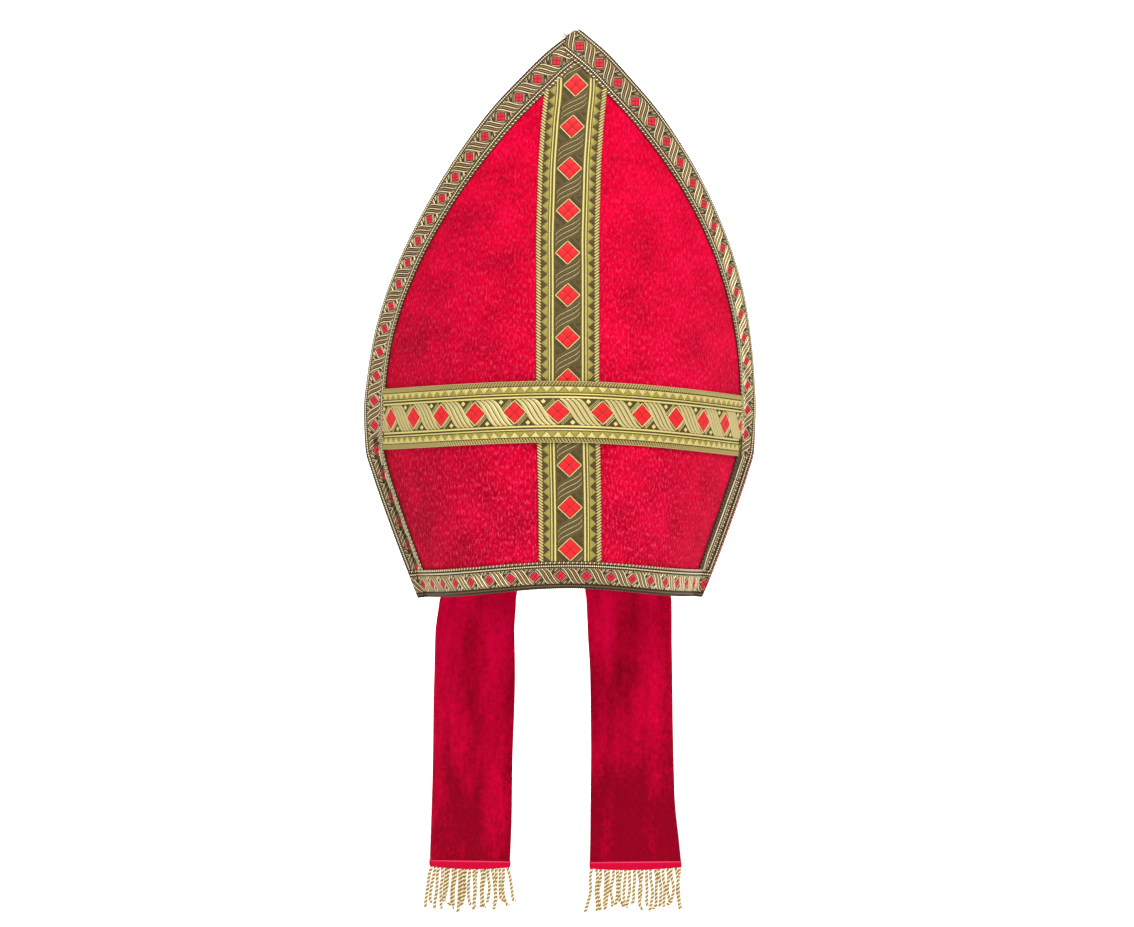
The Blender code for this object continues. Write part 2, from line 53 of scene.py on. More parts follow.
# height, half, centre, edge, fullness, lean
crownSections = (
    (0.0000, 0.7267, 0.891, 0.0378, 1.90, 0.00),
    (0.0814, 0.8147, 0.927, 0.0366, 1.88, 0.00),
    (0.1628, 0.8975, 0.959, 0.0364, 1.85, 0.00),
    (0.2279, 0.9590, 0.982, 0.0372, 1.83, 0.00),
    (0.2713, 0.9924, 0.995, 0.0410, 1.82, 0.00),
    (0.3418, 1.0000, 1.000, 0.0560, 1.80, 0.00),
    (0.4069, 0.9848, 0.995, 0.0880, 1.80, 0.08),
    (0.4748, 0.9560, 0.991, 0.1550, 1.80, 0.17),
    (0.5426, 0.9089, 0.982, 0.2590, 1.75, 0.33),
    (0.6104, 0.8398, 0.973, 0.3820, 1.70, 0.47),
    (0.6782, 0.7517, 0.959, 0.4950, 1.65, 0.60),
    (0.7461, 0.6454, 0.945, 0.6090, 1.60, 0.71),
    (0.8139, 0.5186, 0.927, 0.7250, 1.55, 0.76),
    (0.8681, 0.3994, 0.914, 0.8130, 1.50, 0.78),
    (0.9224, 0.2566, 0.900, 0.8640, 1.40, 0.82),
    (0.9631, 0.1443, 0.891, 0.8840, 1.30, 0.91),
    (1.0000, 0.0180, 0.882, 0.8815, 1.20, 1.00),
)
# height, left width, left lost, right width, right lost
crownBorders = (
    (0.00, 0.36, 0.86, 0.36, 0.86),
    (0.22, 0.38, 0.84, 0.38, 0.84),
    (0.29, 0.62, 0.64, 0.50, 0.66),
    (0.36, 0.86, 0.47, 0.58, 0.40),
    (0.47, 0.90, 0.25, 0.70, 0.16),
    (0.60, 0.90, 0.07, 0.80, 0.05),
    (0.74, 0.90, 0.02, 0.80, 0.00),
    (0.85, 0.90, 0.00, 0.80, 0.00),
    (1.00, 0.90, 0.00, 0.80, 0.00),
)
braid = {
    "face": 0.0185, "thick": 0.0009, "width": 0.024, "shown": 0.0197, "corner": 0.0012, "turnedIn": 0.0104,
    "rimTop": 0.0180, "tipLap": 0.0077, "tipRise": 0.0009, "pitch": 0.0168,
    # rimShade is the band across the front rim braid that gets painted shade on its down-turned lower edge
    "start": {-1: 0.005, 1: -0.001}, "rimStart": 0.0092, "rimShade": (0.0064, 0.0127),
    "folded": 0.086, "foldedHalf": 0.0070, "tipRiseOver": (0.050, 0.022), "fold": (0.0165, 0.0173),
    "tipFrom": (0.970, 0.985), "patternFrom": 0.012, "patternRows": 420, "evenRows": 230,
    "pastStep": 0.0008, "pastSteps": 40, "bodyFrom": 0.036, "bodyRows": 150, "rimRows": 170,
    "rimBodyRows": 130,
}


def smoothColumn(at, xs, ys):  # monotone cubic through the points of one table column
    xs = np.asarray(xs, float)
    ys = np.asarray(ys, float)
    steps = np.diff(xs)
    rises = np.diff(ys) / steps
    slopes = np.zeros(len(xs))
    slopes[0] = rises[0]
    slopes[-1] = rises[-1]
    for i in range(1, len(xs) - 1):
        if rises[i - 1] * rises[i] > 0:
            before = 2 * steps[i] + steps[i - 1]
            after = steps[i] + 2 * steps[i - 1]
            slopes[i] = (before + after) / (before / rises[i - 1] + after / rises[i])
    at = np.clip(np.asarray(at, float), xs[0], xs[-1])
    i = np.clip(np.searchsorted(xs, at, side="right") - 1, 0, len(xs) - 2)
    h = steps[i]
    t = (at - xs[i]) / h
    value = (2 * t ** 3 - 3 * t ** 2 + 1) * ys[i]
    value += (t ** 3 - 2 * t ** 2 + t) * h * slopes[i]
    value += (3 * t ** 2 - 2 * t ** 3) * ys[i + 1]
    value += (t ** 3 - t ** 2) * h * slopes[i + 1]
    return value


def smoothStep(value, low, high):
    t = np.clip((value - low) / (high - low), 0, 1)
    return t * t * (3 - 2 * t)


def lastTrue(test, low, high):  # the last value for which the test holds
    for _ in range(40):
        middle = (low + high) / 2
        if test(middle):
            low = middle
        else:
            high = middle
    return low


def runningSum(values, at):
    steps = (values[1:] + values[:-1]) / 2 * np.diff(at)
    return np.concatenate(([0.0], np.cumsum(steps)))


def runAlong(line):  # distance from the start at each point of a line
    return np.concatenate(([0.0], np.cumsum(np.linalg.norm(np.diff(line, axis=0), axis=1))))


def turning(u, edgeAngle, fullness, border, lost):
    angle = edgeAngle * (fullness * u - (fullness - 1) * u * u)
    return angle * (1 - lost * smoothStep(u, 1 - border * 1.25, 1 - border * 0.70))


class Crown:
    # Outer face of the front panel: s runs along a section from its middle, the right side
    # positive, and level is the height at the side edge.

    def __init__(self):
        self.levelSteps = crownSize["levelSteps"]
        self.arcSteps = crownSize["arcSteps"]
        share = np.linspace(0, 1, self.levelSteps + 1)
        sections = np.array(crownSections)
        borders = np.array(crownBorders)
        column = [smoothColumn(share, sections[:, 0], sections[:, i]) for i in range(6)]
        edging = [smoothColumn(share, borders[:, 0], borders[:, i]) for i in range(5)]
        self.levels = share * crownSize["height"]
        self.half = column[1] * crownSize["widest"]
        self.centre = column[2] * crownSize["depth"]
        self.edge = column[3] * crownSize["depth"]
        self.fullness = column[4]
        self.lean = column[5] * crownSize["lean"]
        self.lost = np.array((edging[2], edging[4]))
        width = np.array((edging[1], edging[3])) * braid["face"]
        self.border, self.angle, self.reach = np.zeros((3, 2, len(share)))
        self.across, self.back = np.zeros((2, 2, len(share), self.arcSteps + 1))
        for side in (0, 1):
            for k in range(len(share)):
                self.solve(side, k, min(width[side, k] / (1.4 * self.half[k]), 0.5))

    def solve(self, side, k, border):  # the bend that brings one half section to its depth and width
        u = np.linspace(0, 1, self.arcSteps + 1)
        wanted = (self.centre[k] - self.edge[k]) / self.half[k]

        def bend(angle):
            return turning(u, angle, self.fullness[k], border, self.lost[side, k])

        def isShallow(angle):
            return runningSum(np.sin(bend(angle)), u)[-1] < wanted * runningSum(np.cos(bend(angle)), u)[-1]

        angle = lastTrue(isShallow, 0.001, math.radians(89))
        run = runningSum(np.cos(bend(angle)), u)
        reach = self.half[k] / run[-1]
        self.border[side, k] = border
        self.angle[side, k] = angle
        self.reach[side, k] = reach
        self.across[side, k] = run * reach
        self.back[side, k] = runningSum(np.sin(bend(angle)), u) * reach

    def at(self, values, level):
        return np.interp(level, self.levels, values)

    def atSide(self, values, level, isRight):
        return np.where(isRight, self.at(values[1], level), self.at(values[0], level))

    def fromGrid(self, grid, level, u, isRight):
        side = np.where(isRight, 1, 0)
        row = np.clip(level / crownSize["height"], 0, 1) * self.levelSteps
        i = np.minimum(row.astype(int), self.levelSteps - 1)
        fi = row - i
        col = np.clip(u, 0, 1) * self.arcSteps
        j = np.minimum(col.astype(int), self.arcSteps - 1)
        fj = col - j
        low = grid[side, i, j] * (1 - fj) + grid[side, i, j + 1] * fj
        high = grid[side, i + 1, j] * (1 - fj) + grid[side, i + 1, j + 1] * fj
        return low * (1 - fi) + high * fi

    def place(self, s, level, out=0.0):
        s, level, out = np.broadcast_arrays(*(np.asarray(value, float) for value in (s, level, out)))
        isRight = s >= 0
        side = np.where(isRight, 1.0, -1.0)
        reach = self.atSide(self.reach, level, isRight)
        u = np.abs(s) / reach
        theta = turning(
            np.minimum(u, 1), self.atSide(self.angle, level, isRight), self.at(self.fullness, level),
            self.atSide(self.border, level, isRight), self.atSide(self.lost, level, isRight))
        past = np.maximum(u - 1, 0) * reach
        x = self.fromGrid(self.across, level, u, isRight) + past * np.cos(theta)
        y = self.fromGrid(self.back, level, u, isRight) + past * np.sin(theta)
        arch = crownSize["arch"] * np.clip(1 - level / crownSize["archEnds"], 0, 1)
        part = np.clip(x / self.at(self.half, level), 0, 1)
        rise = (1 - part ** 2 + (1 + np.cos(math.pi * part)) / 2) / 2
        points = np.empty(s.shape + (3,))
        points[..., 0] = side * (x + out * np.sin(theta)) + self.at(self.lean, level)
        points[..., 1] = y - self.at(self.centre, level) - out * np.cos(theta) - crownSize["gap"] / 2
        points[..., 2] = level + arch * rise
        return points

    def aside(self, s, level, alongS, alongLevel):  # unit step across a line on the face
        h = 0.5 * mm
        up = np.minimum(level + h, crownSize["height"])
        down = np.maximum(level - h, 0)
        byS = (self.place(s + h / 2, level) - self.place(s - h / 2, level)) / h
        byLevel = (self.place(s, up) - self.place(s, down)) / (up - down)[..., None]
        ss = (byS * byS).sum(-1)
        sl = (byS * byLevel).sum(-1)
        ll = (byLevel * byLevel).sum(-1)
        stepS = -(sl * alongS + ll * alongLevel)
        stepLevel = ss * alongS + sl * alongLevel
        size = np.sqrt(ss * stepS ** 2 + 2 * sl * stepS * stepLevel + ll * stepLevel ** 2)
        return stepS / size, stepLevel / size

    def outline(self, level, side):
        return side * self.atSide(self.reach, level, side > 0)

    def insideEdge(self, level, distance, side):  # s and level at a distance in from one outline
        up = np.minimum(level + mm, crownSize["height"])
        down = np.maximum(level - mm, 0)
        slope = (self.outline(up, side) - self.outline(down, side)) / (up - down)
        s = self.outline(level, side)
        stepS, stepLevel = self.aside(s, level, slope, np.ones_like(slope))
        return s + side * distance * stepS, level + side * distance * stepLevel


crown = Crown()
print("crown solved")


# Meshes

def addObject(name, mesh, materials=()):
    for look in materials:
        mesh.materials.append(look)
    made = bpy.data.objects.new(name, mesh)
    bpy.context.scene.collection.objects.link(made)
    return made


def gridFaces(rows, columns, offset=0, isFlipped=False):
    i, j = np.meshgrid(np.arange(rows - 1), np.arange(columns - 1), indexing="ij")
    a = (i * columns + j).ravel() + offset
    quads = np.stack((a, a + 1, a + columns + 1, a + columns), axis=1)
    return quads[:, ::-1] if isFlipped else quads


def meshFrom(name, points, faces, uv):
    mesh = bpy.data.meshes.new(name)
    mesh.from_pydata(points.tolist(), [], faces.tolist())
    layer = mesh.uv_layers.new(name="flat")
    layer.data.foreach_set("uv", uv[faces.ravel()].astype(np.float32).ravel())
    return mesh


def slabMesh(name, outer, inner, u, v, sharp=50):  # a closed sheet between two grids of points
    rows, columns = outer.shape[:2]
    count = rows * columns

    def rim(a, b):
        return np.stack((a, b, b + count, a + count), axis=1)

    first = np.arange(rows) * columns
    last = first + columns - 1
    low = np.arange(columns)
    top = low + count - columns
    faces = np.concatenate((
        gridFaces(rows, columns), gridFaces(rows, columns, count, True), rim(first[:-1], first[1:]),
        rim(last[1:], last[:-1]), rim(low[1:], low[:-1]), rim(top[:-1], top[1:])))
    i = rows // 2
    j = columns // 2
    away = np.cross(outer[i, j + 1] - outer[i, j], outer[i + 1, j] - outer[i, j])
    if ((outer[i, j] - inner[i, j]) * away).sum() < 0:
        faces = faces[:, ::-1]
    flat = np.broadcast_to(np.stack(np.broadcast_arrays(u, v), axis=-1), (rows, columns, 2)).reshape(-1, 2)
    points = np.concatenate((outer.reshape(-1, 3), inner.reshape(-1, 3)))
    mesh = meshFrom(name, points, faces, np.concatenate((flat, flat)))
    mesh.shade_smooth()
    mesh.set_sharp_from_angle(angle=math.radians(sharp))
    return mesh


def curveFrom(name, paths):
    curve = bpy.data.curves.new(name, "CURVE")
    curve.dimensions = "3D"
    for path in paths:
        spline = curve.splines.new("POLY")
        spline.points.add(len(path) - 1)
        for k, point in enumerate(path):
            spline.points[k].co = (*point, 1.0)
    return curve


def joined(name, objects):
    bpy.ops.object.select_all(action="DESELECT")
    for obj in objects:
        obj.select_set(True)
    bpy.context.view_layer.objects.active = objects[0]
    bpy.ops.object.join()
    objects[0].name = name
    return objects[0]


def plainMesh(obj):  # the object's finished mesh; the object itself goes
    graph = bpy.context.evaluated_depsgraph_get()
    graph.update()
    finished = obj.evaluated_get(graph)
    mesh = bpy.data.meshes.new_from_object(finished, preserve_all_data_layers=True, depsgraph=graph)
    bpy.data.objects.remove(obj)
    return mesh


# Nodes

def setInputs(tree, node, inputs):
    for key, value in inputs.items():
        if isinstance(value, bpy.types.NodeSocket):
            tree.links.new(value, node.inputs[key])
        else:
            node.inputs[key].default_value = value


def nodeMaker(tree):  # make and vector give a new node's outputs, calc the result of a sum
    def make(kind, inputs=None, **settings):
        node = tree.nodes.new(kind)
        for key, value in settings.items():
            setattr(node, key, value)
        setInputs(tree, node, inputs or {})
        return node.outputs

    def calc(operation, *values):
        return make("ShaderNodeMath", dict(enumerate(values)), operation=operation)[0]

    def vector(operation, inputs):
        return make("ShaderNodeVectorMath", inputs, operation=operation)

    return make, calc, vector


def newGroup(name, sockets):
    tree = bpy.data.node_groups.new(name, "GeometryNodeTree")
    ids = {}
    for socket, kind in sockets.items():
        made = tree.interface.new_socket(socket, in_out="INPUT", socket_type="NodeSocket" + kind)
        ids[socket] = made.identifier
    tree.interface.new_socket("Geometry", in_out="OUTPUT", socket_type="NodeSocketGeometry")
    return {"tree": tree, "ids": ids}


def underGroup(obj, group, values):  # the object's mesh under a node group with these inputs
    lay = obj.modifiers.new(group["tree"].name, "NODES")
    lay.node_group = group["tree"]
    for key, value in values.items():
        lay[group["ids"][key]] = value
    return plainMesh(obj)


# Repeats a flat unit along X and lays it on a guide sheet: x runs along the guide, y across it
# and z away from it.
def wrapGroup():
    group = newGroup("wrapOnGuide", {
        "Geometry": "Geometry", "Guide": "Object", "Count": "Int", "Pitch": "Float", "Start": "Float",
        "Length": "Float", "Width": "Float", "Material": "Material"})
    make, calc, vector = nodeMaker(group["tree"])
    source = make("NodeGroupInput")
    line = make("GeometryNodeMeshLine", {
        "Count": source["Count"], "Start Location": make("ShaderNodeCombineXYZ", {0: source["Start"]})[0],
        "Offset": make("ShaderNodeCombineXYZ", {0: source["Pitch"]})[0]})
    copies = make("GeometryNodeInstanceOnPoints", {"Points": line[0], "Instance": source["Geometry"]})
    real = make("GeometryNodeRealizeInstances", {0: copies[0]})
    guide = make("GeometryNodeObjectInfo", {"Object": source["Guide"]})
    place = make("GeometryNodeInputPosition")[0]
    parts = make("ShaderNodeSeparateXYZ", {0: place})
    u = calc("DIVIDE", parts[0], source["Length"])
    v = calc("ADD", calc("DIVIDE", parts[1], source["Width"]), 0.5)

    def onSheet(value):
        return calc("MINIMUM", calc("MAXIMUM", value, 0.0002), 0.9998)

    def stored(kind, name):
        return make("GeometryNodeInputNamedAttribute", {"Name": name}, data_type=kind)["Attribute"]

    at = make("ShaderNodeCombineXYZ", {0: onSheet(u), 1: onSheet(v)})[0]

    def sampled(kind, value):
        return make("GeometryNodeSampleUVSurface", {
            "Mesh": guide["Geometry"], "Value": value, "UV Map": stored("FLOAT_VECTOR", "flat"),
            "Sample UV": at}, data_type=kind)["Value"]

    on = sampled("FLOAT_VECTOR", place)
    away = sampled("FLOAT_VECTOR", stored("FLOAT_VECTOR", "away"))
    inside = sampled("FLOAT", stored("FLOAT", "inside"))
    isPast = calc("GREATER_THAN", calc("ABSOLUTE", calc("SUBTRACT", u, 0.5)), 0.5)
    isOff = calc("MAXIMUM", calc("LESS_THAN", inside, 0.0), isPast)
    kept = make("GeometryNodeDeleteGeometry", {"Geometry": real[0], "Selection": isOff}, domain="FACE")
    flat = vector("SCALE", {0: place, "Scale": 100.0})
    weave = make("GeometryNodeStoreNamedAttribute", {
        "Geometry": kept[0], "Name": "weave", "Value": flat[0]}, data_type="FLOAT2", domain="CORNER")
    lift = vector("SCALE", {0: away, "Scale": parts[2]})
    spot = vector("ADD", {0: on, 1: lift[0]})
    moved = make("GeometryNodeSetPosition", {"Geometry": weave[0], "Position": spot[0]})
    painted = make("GeometryNodeSetMaterial", {"Geometry": moved[0], "Material": source["Material"]})
    make("NodeGroupOutput", {0: painted[0]})
    return group


wrapNodes = wrapGroup()


def wrapped(name, unit, guide, count, pitch, start, look):
    flat = addObject(name, unit.mesh(name))
    return addObject(name, underGroup(flat, wrapNodes, {
        "Guide": guide["object"], "Count": count, "Pitch": pitch, "Start": start,
        "Length": guide["length"], "Width": guide["width"], "Material": look}))


class Relief:  # small flat solids with rounded tops, gathered into one mesh
    def __init__(self):
        self.points = []
        self.faces = []
        self.foot = -0.2 * mm

    def add(self, points, faces):
        base = len(self.points)
        self.points += [tuple(point) for point in points]
        self.faces += [tuple(base + k for k in face) for face in faces]

    def bar(self, path, width, height, taper=0.0):  # a rounded bar along a path of (x, y)
        path = np.asarray(path, float)
        count = len(path)
        along = np.gradient(path, axis=0)
        along /= np.linalg.norm(along, axis=1)[:, None]
        across = np.stack((-along[:, 1], along[:, 0]), axis=1)
        size = width * (1 - taper * np.abs(2 * np.linspace(0, 1, count) - 1) ** 3)
        profile = ((-0.50, None), (-0.34, 0.75), (0.0, 1.0), (0.34, 0.75), (0.50, None))
        n = len(profile)
        points = []
        for k in range(count):
            for shift, rise in profile:
                x, y = path[k] + across[k] * shift * size[k]
                points.append((x, y, self.foot if rise is None else rise * height))
        faces = [tuple(range(n)), tuple((count - 1) * n + i for i in reversed(range(n)))]
        for k in range(0, (count - 1) * n, n):
            for i in range(n):
                j = (i + 1) % n
                faces.append((k + i, k + n + i, k + n + j, k + j))
        self.add(points, faces)

    def pad(self, outline, height, inset):  # a raised pad over a convex outline, anticlockwise
        outline = np.asarray(outline, float)
        middle = outline.mean(axis=0)
        n = len(outline)
        points = []
        for share, z in ((0.0, self.foot), (0.35, height * 0.7), (1.0, height)):
            points += [(x, y, z) for x, y in middle + (outline - middle) * (1 - inset * share)]
        faces = [tuple(2 * n + i for i in range(n)), tuple(reversed(range(n)))]
        for k in (0, n):
            for i in range(n):
                j = (i + 1) % n
                faces.append((k + i, k + j, k + n + j, k + n + i))
        self.add(points, faces)

    def mesh(self, name):
        mesh = bpy.data.meshes.new(name)
        mesh.from_pydata(self.points, [], self.faces)
        mesh.shade_smooth()
        mesh.set_sharp_from_angle(angle=math.radians(55))
        return mesh


# Finishes

def rgba(colour):  # from display values of 0 to 255
    return (*(((c / 255 + 0.055) / 1.055) ** 2.4 if c > 10 else c / 255 / 12.92 for c in colour), 1)


def newLook(name):
    look = bpy.data.materials.new(name)
    look.use_nodes = True
    return look, look.node_tree, look.node_tree.nodes["Principled BSDF"]


def plainLook(name, colour, roughness, metallic=0.0, sheen=0.0, emission=0.0):
    look, tree, shader = newLook(name)
    setInputs(tree, shader, {
        "Base Color": rgba(colour), "Roughness": roughness, "Metallic": metallic, "Sheen Weight": sheen,
        "Specular IOR Level": 0.30, "Emission Color": (1, 1, 1, 1), "Emission Strength": emission})
    return look


# clouds and streaks are how far those are stretched, the tone's slope along and up the cloth and its start
# are painted light and shade, and flecked is the share of light flecks, painted highlights on the fibre
# tips, and how it changes with height
pile = {
    "dark": (150, 0, 28), "middle": (198, 0, 43), "light": (234, 6, 65), "fleck": (252, 74, 116),
    "clouds": (1, 1, 1), "streaks": (2.0, 0.8, 1), "cloudy": 0.6, "grain": 0.65,
    "fall": (0.0055, 0.003, -0.03), "flecked": (0.72, -0.018), "hemFrom": None,
    "hem": (212, 8, 56), "stitch": (244, 84, 116), "bump": 0.0006,
}
lappetPile = {
    **pile, "dark": (132, 0, 26), "middle": (180, 0, 42), "light": (226, 0, 66), "fleck": (236, 30, 88),
    "clouds": (1.5, 0.42, 1), "streaks": (1.2, 0.9, 1), "cloudy": 1.1, "grain": 0.30,
    "flecked": (0.10, 0.004), "hemFrom": 0.62,
}


def plushLook(name, pile):
    look, tree, shader = newLook(name)
    make, calc, vector = nodeMaker(tree)
    setInputs(tree, shader, {
        "Roughness": 0.92, "Specular IOR Level": 0.04, "Sheen Weight": 0.03, "Sheen Roughness": 0.45,
        "Sheen Tint": (1.0, 0.25, 0.38, 1)})
    uv = make("ShaderNodeUVMap", uv_map="flat")[0]

    def noise(scale, stretch, detail, roughness):
        where = make("ShaderNodeMapping", {"Vector": uv, "Scale": stretch})[0]
        return make("ShaderNodeTexNoise", {
            "Vector": where, "Scale": scale, "Detail": detail, "Roughness": roughness})["Fac"]

    def ranged(value, low, high):
        return make("ShaderNodeMapRange", {"Value": value, "From Min": low, "From Max": high})[0]

    def mixed(share, colour, other):
        return make("ShaderNodeMix", {0: share, 6: colour, 7: rgba(other)}, data_type="RGBA")[2]

    clouds = noise(0.33, pile["clouds"], 3.0, 0.55)
    streaks = noise(2.6, pile["streaks"], 4.0, 0.65)
    speckle = noise(8.0, (1, 0.50, 1), 2.0, 0.6)
    # painted light and shade: the tone rises along and up the cloth from its start
    along, up, start = pile["fall"]
    slope = vector("DOT_PRODUCT", {0: uv, 1: (along, up, 0)})["Value"]
    tone = calc("ADD", calc("MULTIPLY", clouds, pile["cloudy"]), calc("ADD", slope, start))
    tone = calc("ADD", tone, calc("MULTIPLY", streaks, 0.55))
    tone = calc("ADD", tone, calc("MULTIPLY", speckle, pile["grain"]))
    ramp = tree.nodes.new("ShaderNodeValToRGB")
    ramp.color_ramp.elements.new(0.45)
    stops = zip(ramp.color_ramp.elements, (0.0, 0.45, 1.0), ("dark", "middle", "light"))
    for element, place, key in stops:
        element.position = place
        element.color = rgba(pile[key])
    setInputs(tree, ramp, {"Fac": ranged(tone, 0.72, 1.26)})
    colour = ramp.outputs["Color"]
    height = make("ShaderNodeSeparateXYZ", {0: uv})[1]
    hemFrom = pile["hemFrom"]
    if hemFrom:
        below = calc("MULTIPLY", ranged(height, hemFrom + 0.04, hemFrom - 0.06), 0.75)
        colour = mixed(below, colour, pile["hem"])
        fromSeam = calc("ABSOLUTE", calc("SUBTRACT", height, hemFrom - 0.03))
        seam = calc("MAXIMUM", calc("SUBTRACT", 1.0, calc("MULTIPLY", fromSeam, 16.0)), 0.0)
        colour = mixed(calc("MULTIPLY", seam, 0.75), colour, pile["stitch"])
    # painted highlights: light flecks on the fibre tips
    flecks = ranged(noise(6.0, (1.3, 0.50, 1), 3.0, 0.62), 0.52, 0.72)
    share, change = pile["flecked"]
    dense = calc("MAXIMUM", calc("MULTIPLY_ADD", height, change, share), 0.05)
    colour = mixed(calc("MULTIPLY", flecks, dense), colour, pile["fleck"])
    bump = make("ShaderNodeBump", {
        "Strength": 0.35, "Distance": pile["bump"], "Height": calc("ADD", speckle, streaks)})
    setInputs(tree, shader, {"Base Color": colour, "Normal": bump[0]})
    return look


plush = plushLook("plush", pile)
# painted light: each lappet's tone rises towards its top, under the crown, by its own amount
lappetPlush = {
    -1: plushLook("lappetPlushLeft", {**lappetPile, "fall": (0.0, 0.026, -0.29)}),
    1: plushLook("lappetPlushRight", {**lappetPile, "fall": (0.0, 0.025, -0.355)}),
}
# colour, roughness, metal, sheen
finishes = {
    # the pale and dark strands: lit and shaded copies of one gold thread, painted reflection
    "strandLit": ((198, 182, 122), 0.40, 0.25),
    "strandShaded": ((90, 75, 40), 0.45, 0.30),
    "lineLight": ((220, 204, 122), 0.38, 0.25),
    "lineThin": ((222, 210, 154), 0.40, 0.25),
    "olive": ((150, 142, 58), 0.50, 0.15),
    # the pale and dark teeth: lit and shaded copies of one gold thread, painted reflection
    "toothLit": ((208, 194, 118), 0.42, 0.20),
    "toothShaded": ((78, 62, 22), 0.50, 0.20),
    "groundDark": ((74, 62, 28), 0.60, 0.15),
    "groundOlive": ((84, 72, 36), 0.55, 0.20),
    "cord": ((196, 178, 112), 0.42, 0.20),
    "cordDark": ((168, 152, 88), 0.45, 0.20),
    "outline": ((232, 204, 136), 0.40, 0.20),
    "silk": ((216, 16, 26), 0.55, 0.0, 0.05),
    "silkDark": ((150, 8, 22), 0.60),
    "crimson": ((200, 20, 44), 0.55, 0.0, 0.05),
    "crimsonDark": ((112, 10, 28), 0.60),
    "braidGround": ((62, 44, 26), 0.50, 0.30),
    "braidLight": ((240, 224, 180), 0.34, 0.30),
    "braidStrand": ((154, 126, 78), 0.40, 0.30),
    "braidRib": ((196, 172, 122), 0.40, 0.30),
    # braidShade is a shaded copy of braidLight for painted shade, and also the frayed threads' colour
    "braidShade": ((116, 96, 60), 0.55, 0.15),
    "braidDark": ((34, 24, 14), 0.55, 0.25),
    "fringe": ((242, 228, 186), 0.40, 0.15),
    "fringeDark": ((146, 112, 54), 0.45, 0.15),
}
palette = {name: plainLook(name, *values) for name, values in finishes.items()}
print("finishes made")


# Units of the woven patterns, each a dictionary of finish role and Relief

def sCurve(x0, y0, x1, y1, count):
    t = np.linspace(0, 1, count)
    return np.stack((x0 + (x1 - x0) * t, (y0 + y1) / 2 + (y0 - y1) / 2 * np.cos(math.pi * t)), axis=1)


def straight(x0, y0, x1, y1, count=2):
    t = np.linspace(0, 1, count)[:, None]
    return np.array((x0, y0)) * (1 - t) + np.array((x1, y1)) * t


def lengthwise(pitch, y, count):
    return straight(-pitch / 2, y, pitch / 2, y, count)


def diamond(x, y, a, b):
    return ((x + a, y), (x, y + b), (x - a, y), (x, y - b))


def addChecks(relief, a, b, gap, height, inset):  # a diamond of four small ones
    for x, y in ((a / 2, 0), (0, b / 2), (-a / 2, 0), (0, -b / 2)):
        relief.pad(diamond(x, y, a / 2 - gap, b / 2 - gap), height, inset)


def addFrame(relief, a, b, nearA, nearB, count, width, height):  # four bars round a diamond
    for sx in (-1, 1):
        for sy in (-1, 1):
            relief.bar(straight(sx * a, sy * nearA, sx * nearB, sy * b, count), width, height)


# Widths and heights across the band are in metres, and what runs along it is a share of the pitch.
wide = {
    "field": 8.75 * mm, "along": 0.250, "across": 6.9 * mm, "gap": 0.10 * mm,
    "strands": 4, "firstStrand": 0.315, "strandStep": 0.124, "strandRun": 0.275, "strandWidth": 2.75 * mm,
    "corners": ((1.25, 0.42 * mm), (1.42, 0.46 * mm), (1.62, 0.46 * mm)),
    "studAt": 0.325, "studIn": 6.8 * mm, "lines": ((9.45 * mm, 1.35 * mm), (11.55 * mm, 0.95 * mm)),
    "teeth": 4, "toothIn": 12.5 * mm, "toothOut": 16.4 * mm, "edge": 19.7 * mm,
    "cordTurns": 14, "cordIn": 17.0 * mm, "cordOut": 19.85 * mm, "cordSlant": 2.2 * mm,
}


def wideUnit(pitch):
    parts = collections.defaultdict(Relief)
    a = wide["along"] * pitch
    b = wide["across"]
    field = wide["field"]
    parts["silkBack"].pad(diamond(0, 0, a, b), 0.14 * mm, 0.02)
    addChecks(parts["silk"], a, b, wide["gap"], 0.42 * mm, 0.16)
    addFrame(parts["outline"], a * 1.10, b * 1.10, 0.1 * mm, 0.1 * mm, 4, 0.66 * mm, 0.38 * mm)
    run = wide["strandRun"] * pitch
    for k in range(wide["strands"]):
        x = (wide["firstStrand"] + k * wide["strandStep"]) * pitch
        path = sCurve(x - run, field * 0.95, x + run, -field * 0.95, 12)
        parts["strand"].bar(path, wide["strandWidth"], 0.50 * mm, taper=0.75)
        if k:
            x -= wide["strandStep"] * pitch / 2
            path = sCurve(x - run * 0.8, field * 0.86, x + run * 0.8, -field * 0.86, 10)
            parts["thin"].bar(path, 0.50 * mm, 0.54 * mm, taper=0.4)
    for sign in (-1, 1):
        addCorner(parts, sign, pitch, a, b, field)
        for y, width in wide["lines"]:
            parts["line"].bar(lengthwise(pitch, sign * y, 7), width, 0.52 * mm)
        addTeeth(parts, sign, pitch)
        parts["edge"].bar(lengthwise(pitch, sign * wide["edge"], 7), 0.55 * mm, 0.55 * mm)
        for k in range(wide["cordTurns"]):
            x = -pitch / 2 + k * pitch / wide["cordTurns"]
            path = straight(x, sign * wide["cordIn"], x + wide["cordSlant"], sign * wide["cordOut"], 4)
            parts["cord"].bar(path, 1.30 * mm, 0.62 * mm, taper=0.35)
    return parts


def addCorner(parts, sign, pitch, a, b, field):  # the ribs and the stud beside the diamond
    for scale, width in wide["corners"]:
        low = max(0.20, 1 - field / (b * scale) + 0.02)
        x = -sign * a * scale
        y = sign * b * scale
        path = straight(x * (1 - low * 0.9), y * low * 0.9, x * low, y * (1 - low), 3)
        parts["corner"].bar(path, width, 0.34 * mm)
    stud = diamond(-sign * wide["studAt"] * pitch, sign * wide["studIn"], 1.8 * mm, 1.6 * mm)
    parts["stud"].pad(stud, 0.40 * mm, 0.2)


